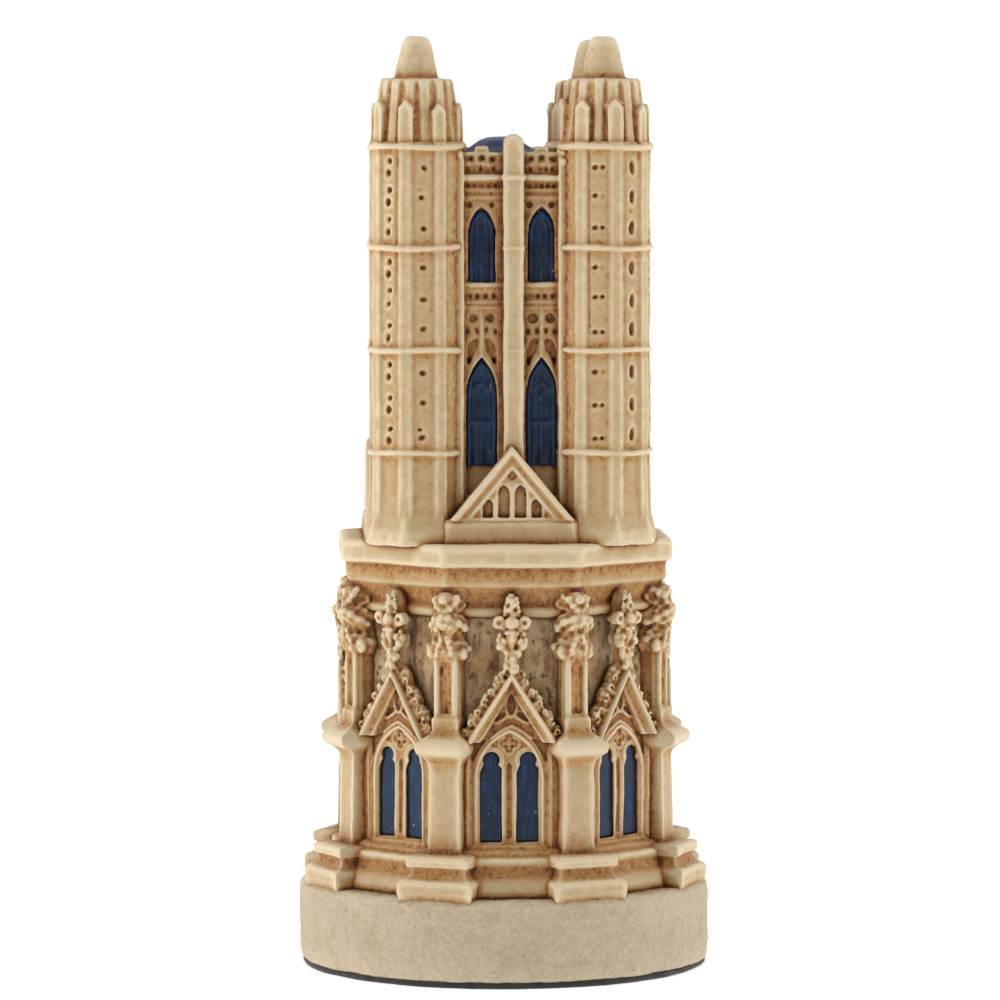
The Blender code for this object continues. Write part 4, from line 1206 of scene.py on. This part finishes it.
def painted_zone(points):
    """How much more wash was brushed on in some zones, less where it was rubbed off again."""
    x, y, z = points.T
    radius = np.hypot(x, y)
    out = np.maximum(np.abs(x), np.abs(y))
    beside = np.minimum(np.abs(x), np.abs(y))
    top_slab = grade(z, 45.2, 45.5) * grade(z, 48.3, 48.0)
    pier_caps = grade(z, 24.2, 24.6) * grade(z, 26.6, 26.3) * grade(radius, 18.4, 18.8)
    zones = (
        # the carved band over the windows, and the hollow under the slab
        grade(z, 25.5, 28.0) * grade(z, 43.5, 42.0) * (1 - pier_caps),
        grade(z, 42.4, 42.8) * grade(z, 44.7, 44.5) * 1.3,
        # the sills between the pier feet, and the windows
        grade(z, 9.8, 10.8) * grade(z, 16.5, 14.5) * np.maximum(grade(radius, 20.8, 19.8), 0.25) * 0.8,
        grade(z, 14.0, 15.0) * grade(z, 26.0, 25.0) * grade(radius, 18.2, 17.6) * 0.7,
        # the tower's bays, the gaps beside its turrets, its foot, and the turrets
        grade(z, 56.0, 59.0) * grade(out, 12.6, 12.1) * grade(beside, 5.4, 5.1),
        grade(z, 50.0, 52.0) * grade(out, 12.7, 12.4) * grade(beside, 6.0, 6.2),
        grade(z, 50.5, 48.5) * grade(z, 47.0, 47.3) * 0.05,
        grade(z, 49.0, 57.0) * grade(z, 97.0, 96.5) * grade(beside, 5.4, 5.7) * 0.25,
    )
    return np.maximum.reduce(zones) - 0.8 * grade(z, 97.0, 97.6) - 0.4 * top_slab - 0.6 * pier_caps


def wash_everything(items):
    """Gives each point how narrow, wide and deep a hollow it lies in (negative on edges), and the brush."""
    solid = solid_grid(items)
    washes = (
        ("crease", blurred(solid, 0.22), 0.12, 0.35, 3.2),
        ("hollow", blurred(solid, 0.6), 0.35, 0.325, 3.0),
        ("depth", blurred(solid, 1.5), 0.9, 0.292, 2.6),
    )
    for item in items:
        points, normals = mesh_arrays(item.data)
        values = {"brushed": painted_zone(points)}
        for name, grid, lift, open_share, gain in washes:
            share = sampled(grid, points + normals * lift)
            values[name] = np.clip((share - open_share) * gain, -1, 1)
        for name, value in values.items():
            layer = item.data.attributes.new(name, "FLOAT", "POINT")
            layer.data.foreach_set("value", value.astype(np.float32))


# ---- materials ----


class Nodes:
    """A short way to write a material's node tree. Colours are 8-bit display values or sockets."""

    def __init__(self, name):
        self.material = bpy.data.materials.new(name)
        self.material.use_nodes = True
        self.tree = self.material.node_tree
        self.shader = self.tree.nodes["Principled BSDF"]

    def new(self, kind, **settings):
        made = self.tree.nodes.new(kind)
        for key, value in settings.items():
            setattr(made, key, value)
        return made

    def feed(self, value, socket):
        if isinstance(value, bpy.types.NodeSocket):
            self.tree.links.new(value, socket)
        else:
            socket.default_value = value

    def attribute(self, name):
        return self.new("ShaderNodeAttribute", attribute_name=name).outputs["Fac"]

    def noise(self, size, detail=3.0, stretch=(1, 1, 1), roughness=0.55):
        """Noise from about 0 to 1 with features of the given size, in units."""
        mapping = self.new("ShaderNodeMapping")
        mapping.inputs["Scale"].default_value = stretch
        self.feed(self.new("ShaderNodeTexCoord").outputs["Object"], mapping.inputs["Vector"])
        made = self.new("ShaderNodeTexNoise")
        self.feed(mapping.outputs["Vector"], made.inputs["Vector"])
        for name, value in (("Scale", 1 / (size * U)), ("Detail", detail), ("Roughness", roughness)):
            made.inputs[name].default_value = value
        return made.outputs["Fac"]

    def math(self, operation, a, b):
        made = self.new("ShaderNodeMath", operation=operation)
        self.feed(a, made.inputs[0])
        self.feed(b, made.inputs[1])
        return made.outputs[0]

    def plus(self, first, *others):
        for other in others:
            first = self.math("ADD", first, other)
        return first

    def times(self, a, b):
        return self.math("MULTIPLY", a, b)

    def spread(self, value, low, high, to_low=0.0, to_high=1.0):
        """The value's range from low to high, brought to another range and held to it."""
        made = self.new("ShaderNodeMapRange")
        settings = {"Value": value, "From Min": low, "From Max": high, "To Min": to_low, "To Max": to_high}
        for name, setting in settings.items():
            self.feed(setting, made.inputs[name])
        return made.outputs["Result"]

    def ramp(self, value, stops):
        made = self.new("ShaderNodeValToRGB")
        elements = made.color_ramp.elements
        while len(elements) < len(stops):
            elements.new(0.5)
        for element, (place, colour) in zip(elements, stops):
            element.position = place
            element.color = linear(colour)
        self.feed(value, made.inputs["Fac"])
        return made.outputs["Color"]

    def mix(self, share, a, b):
        """The colour a, with the share of colour b over it."""
        made = self.new("ShaderNodeMix", data_type="RGBA")
        self.feed(share, made.inputs["Factor"])
        self.feed(a, made.inputs["A"])
        self.feed(linear(b), made.inputs["B"])
        return made.outputs["Result"]

    def surface(self, **settings):
        for name, value in settings.items():
            self.feed(value, self.shader.inputs[name.replace("_", " ")])

    def bump(self, height, strength, distance):
        made = self.new("ShaderNodeBump")
        made.inputs["Strength"].default_value = strength
        made.inputs["Distance"].default_value = distance * U
        self.feed(height, made.inputs["Height"])
        self.feed(made.outputs["Normal"], self.shader.inputs["Normal"])


def linear(colour):
    """Linear colour, with alpha, of an 8-bit display colour."""
    shares = [part / 255 for part in colour]
    return (*(c / 12.92 if c <= 0.04045 else ((c + 0.055) / 1.055) ** 2.4 for c in shares), 1)


BROWN_WASH = (156, 105, 54)
WASH_STOPS = [
    (0.0, (220, 201, 168)), (0.09, (205, 182, 143)), (0.17, (194, 169, 128)), (0.3, (186, 152, 104)),
    (0.44, (180, 134, 78)), (0.67, BROWN_WASH), (0.95, (102, 63, 33)),
]


def resin():
    """Ivory resin with a brown wash: dark in the creases, thin over the flats, rubbed off the edges."""
    n = Nodes("washed_resin")
    brushed = n.attribute("brushed")
    mottle = n.noise(0.5, 4.0, (1, 1, 0.6), 0.65)
    total = n.plus(
        n.times(n.attribute("crease"), 0.7),
        n.times(n.attribute("hollow"), 0.28),
        n.times(n.attribute("depth"), 0.05),
        n.times(brushed, 0.18),
        n.spread(n.noise(2.6, 4.0), 0.3, 0.7, -0.012, 0.012),
        n.spread(n.noise(0.22, 2.0), 0.35, 0.7, -0.03, 0.04),
    )
    # the wash dries in mottles where it lies thick, and hardly shows on the rubbed flats
    thick = n.plus(n.spread(total, 0.1, 0.4, 0.06, 1.0), n.times(brushed, 0.15))
    stain = n.times(n.spread(mottle, 0.32, 0.7, -0.2, 0.26), thick)
    # wash caught in small pits of the casting
    pits = n.spread(n.noise(0.42, 2.0, (1, 1, 0.8)), 0.6, 0.66)
    held = n.plus(total, n.times(pits, n.spread(total, 0.03, 0.3, 0.0, 0.34)), stain)
    held = n.spread(held, -0.2, 1.0)
    gloss = n.spread(held, 0.0, 0.8, 0.5, 0.68)
    n.surface(Base_Color=n.ramp(held, WASH_STOPS), Roughness=gloss, Specular_IOR_Level=0.35)
    n.bump(n.plus(n.noise(0.2, 5.0, roughness=0.65), n.times(mottle, 0.8)), 0.35, 0.06)
    return n.material


def sandy_resin():
    """The drum: the same resin, cast from a sandy surface, with little wash and fine brown pits."""
    n = Nodes("drum_resin")
    sand = n.noise(0.55, 4.0, roughness=0.6)
    total = n.plus(
        n.spread(n.noise(4.5, 4.0), 0.3, 0.7, 0.06, 0.22),
        n.spread(sand, 0.3, 0.7, 0.14, -0.1),
        n.times(n.attribute("crease"), 0.3),
        n.times(n.attribute("depth"), 0.35),
    )
    stops = [(0.0, (214, 199, 171)), (0.3, (195, 178, 149)), (0.6, (160, 126, 84)), (1.0, BROWN_WASH)]
    colour = n.ramp(n.spread(total, -0.1, 1.0), stops)
    blush = n.spread(n.noise(2.2, 4.0, roughness=0.6), 0.56, 0.72)
    colour = n.mix(n.times(blush, 0.4), colour, (184, 150, 110))
    pits = n.spread(n.noise(0.3, 3.0), 0.64, 0.7)
    colour = n.mix(n.times(pits, 0.6), colour, (140, 106, 68))
    n.surface(Base_Color=colour, Roughness=0.72, Specular_IOR_Level=0.3)
    n.bump(n.plus(sand, n.times(n.noise(0.2, 4.0), 0.4)), 0.9, 0.4)
    return n.material


def stained_resin():
    """The wall behind the pinnacles: grey-brown, pitted, with dark runs of wash down it."""
    n = Nodes("stained_wall")
    patch = n.noise(2.4, 4.0)
    colour = n.ramp(patch, [(0.3, (204, 180, 144)), (0.52, (186, 154, 113)), (0.72, (164, 122, 76))])
    runs = n.spread(n.noise(0.95, 3.0, (1, 1, 0.22), 0.6), 0.5, 0.62)
    pits = n.spread(n.noise(0.75, 3.0, (1, 1, 0.75), 0.55), 0.57, 0.66)
    dark = n.math("MAXIMUM", n.times(runs, n.spread(patch, 0.34, 0.5, 0.25, 0.8)), pits)
    dark = n.math("MAXIMUM", dark, n.spread(n.attribute("crease"), 0.15, 0.8))
    colour = n.mix(n.times(dark, 0.78), colour, (82, 54, 34))
    n.surface(Base_Color=colour, Roughness=0.75, Specular_IOR_Level=0.3)
    n.bump(n.plus(n.times(dark, -1.0), n.noise(0.3, 4.0)), 0.6, 0.15)
    return n.material


def blue_paint(name, deep, mid, light, wear):
    """Brushed satin paint, streaked along the brush, with small pale chips."""
    n = Nodes(name)
    streak = n.noise(0.4, 3.0, (1, 1, 0.15))
    patch = n.noise(1.6, 3.0)
    tone = n.plus(n.spread(streak, 0.3, 0.7, 0.0, 0.6), n.spread(patch, 0.3, 0.7, 0.0, 0.4))
    tone = n.math("SUBTRACT", tone, n.times(n.attribute("crease"), 0.3))
    chips = n.spread(n.noise(0.45, 2.0, (1, 1, 0.7)), 0.71, 0.74)
    colour = n.ramp(tone, [(0.1, deep), (0.5, mid), (0.95, light)])
    colour = n.mix(n.times(chips, wear), colour, (190, 190, 190))
    n.surface(Base_Color=colour, Roughness=n.spread(patch, 0.3, 0.7, 0.3, 0.45), Specular_IOR_Level=0.3)
    n.bump(n.noise(0.35, 3.0, (1, 1, 0.3)), 0.25, 0.06)
    return n.material


def felt_cloth():
    n = Nodes("felt_cloth")
    fibre = n.noise(0.12, 5.0, (1, 1, 2.0), 0.75)
    colour = n.ramp(fibre, [(0.3, (28, 28, 28)), (0.55, (50, 50, 48)), (0.8, (92, 90, 86))])
    colour = n.mix(n.spread(n.noise(1.2, 3.0), 0.4, 0.7, 0.0, 0.5), colour, (56, 58, 52))
    n.surface(Base_Color=colour, Roughness=0.95, Sheen_Weight=0.25)
    n.bump(fibre, 0.8, 0.12)
    return n.material


# ---- light, floor and camera ----

# a white tent, darker on the camera's side, with a soft box to each side and one above
WORLD_FRONT = 0.16
WORLD_BACK = 1.05
BOX_SIZE = 0.30
BOXES = (
    ("left_box", (-0.50, -0.14, 0.20), 1.05),
    ("right_box", (0.50, -0.12, 0.20), 0.72),
    ("top_box", (0.0, -0.16, 0.55), 0.4),
)


def placed(name, data, location, rotation):
    item = bpy.data.objects.new(name, data)
    item.location = location
    item.rotation_euler = rotation
    bpy.context.scene.collection.objects.link(item)
    return item


def studio():
    shape = bmesh.new()
    bmesh.ops.create_grid(shape, x_segments=1, y_segments=1, size=8)
    mesh = bpy.data.meshes.new("floor")
    shape.to_mesh(mesh)
    shape.free()
    n = Nodes("floor_paper")
    n.surface(Base_Color=(0.94, 0.94, 0.94, 1), Roughness=0.9)
    n.surface(Emission_Color=(1, 1, 1, 1), Emission_Strength=0.45)
    mesh.materials.append(n.material)
    placed("floor", mesh, (0, 0, 0), (0, 0, 0))

    world = bpy.data.worlds.new("studio")
    bpy.context.scene.world = world
    world.use_nodes = True
    tree = world.node_tree
    coords = tree.nodes.new("ShaderNodeTexCoord")
    axes = tree.nodes.new("ShaderNodeSeparateXYZ")
    tree.links.new(coords.outputs["Generated"], axes.inputs["Vector"])
    fade = tree.nodes.new("ShaderNodeMapRange")
    limits = (("From Min", -0.8), ("From Max", 0.5), ("To Min", WORLD_FRONT), ("To Max", WORLD_BACK))
    for name, value in limits:
        fade.inputs[name].default_value = value
    tree.links.new(axes.outputs["Y"], fade.inputs["Value"])
    background = tree.nodes["Background"]
    tree.links.new(fade.outputs["Result"], background.inputs["Strength"])
    background.inputs["Color"].default_value = (1, 1, 1, 1)

    middle = Vector((0, 0, 50 * U))
    for name, place, power in BOXES:
        lamp = bpy.data.lights.new(name, "AREA")
        lamp.shape = "SQUARE"
        lamp.size = BOX_SIZE
        lamp.energy = power
        placed(name, lamp, place, (middle - Vector(place)).to_track_quat("-Z", "Y").to_euler())


def camera():
    """A long lens a little above the cornice, turned slightly to the left of the front."""
    distance, height, yaw = 593.0, 89.7, math.radians(2.64)
    aim = 50.8
    pitch = math.atan2(height - aim, distance)
    made = bpy.data.cameras.new("camera")
    made.sensor_width = 36
    made.lens = 194.5
    made.shift_x = -0.004
    made.clip_start = 0.01
    made.clip_end = 20
    location = (-math.sin(yaw) * distance * U, -math.cos(yaw) * distance * U, height * U)
    bpy.context.scene.camera = placed("camera", made, location, (math.radians(90) - pitch, 0, -yaw))
    bpy.context.scene.view_settings.view_transform = "Standard"


# ---- everything ----

studio()
camera()
drum_item = drum()
felt_item = felt()
course()
wall_item = wall()
piers()
bays()
cornice()
podium()
core()
roof_item = roof()
tower_faces()
pediments()
turrets()
pane_items = lower_panes() + tower_panes()
wash_everything(PIECES)

CARVED = resin()
SPECIAL = {drum_item: sandy_resin(), wall_item: stained_resin()}
SPECIAL[roof_item] = blue_paint("roof_paint", (8, 20, 56), (16, 36, 86), (36, 62, 122), 0.2)
WINDOW_BLUE = blue_paint("window_paint", (10, 26, 46), (15, 40, 70), (28, 64, 106), 0.4)
SPECIAL.update(dict.fromkeys(pane_items, WINDOW_BLUE))
for piece in PIECES:
    piece.data.materials.clear()
    piece.data.materials.append(SPECIAL.get(piece, CARVED))
felt_item.data.materials.append(felt_cloth())
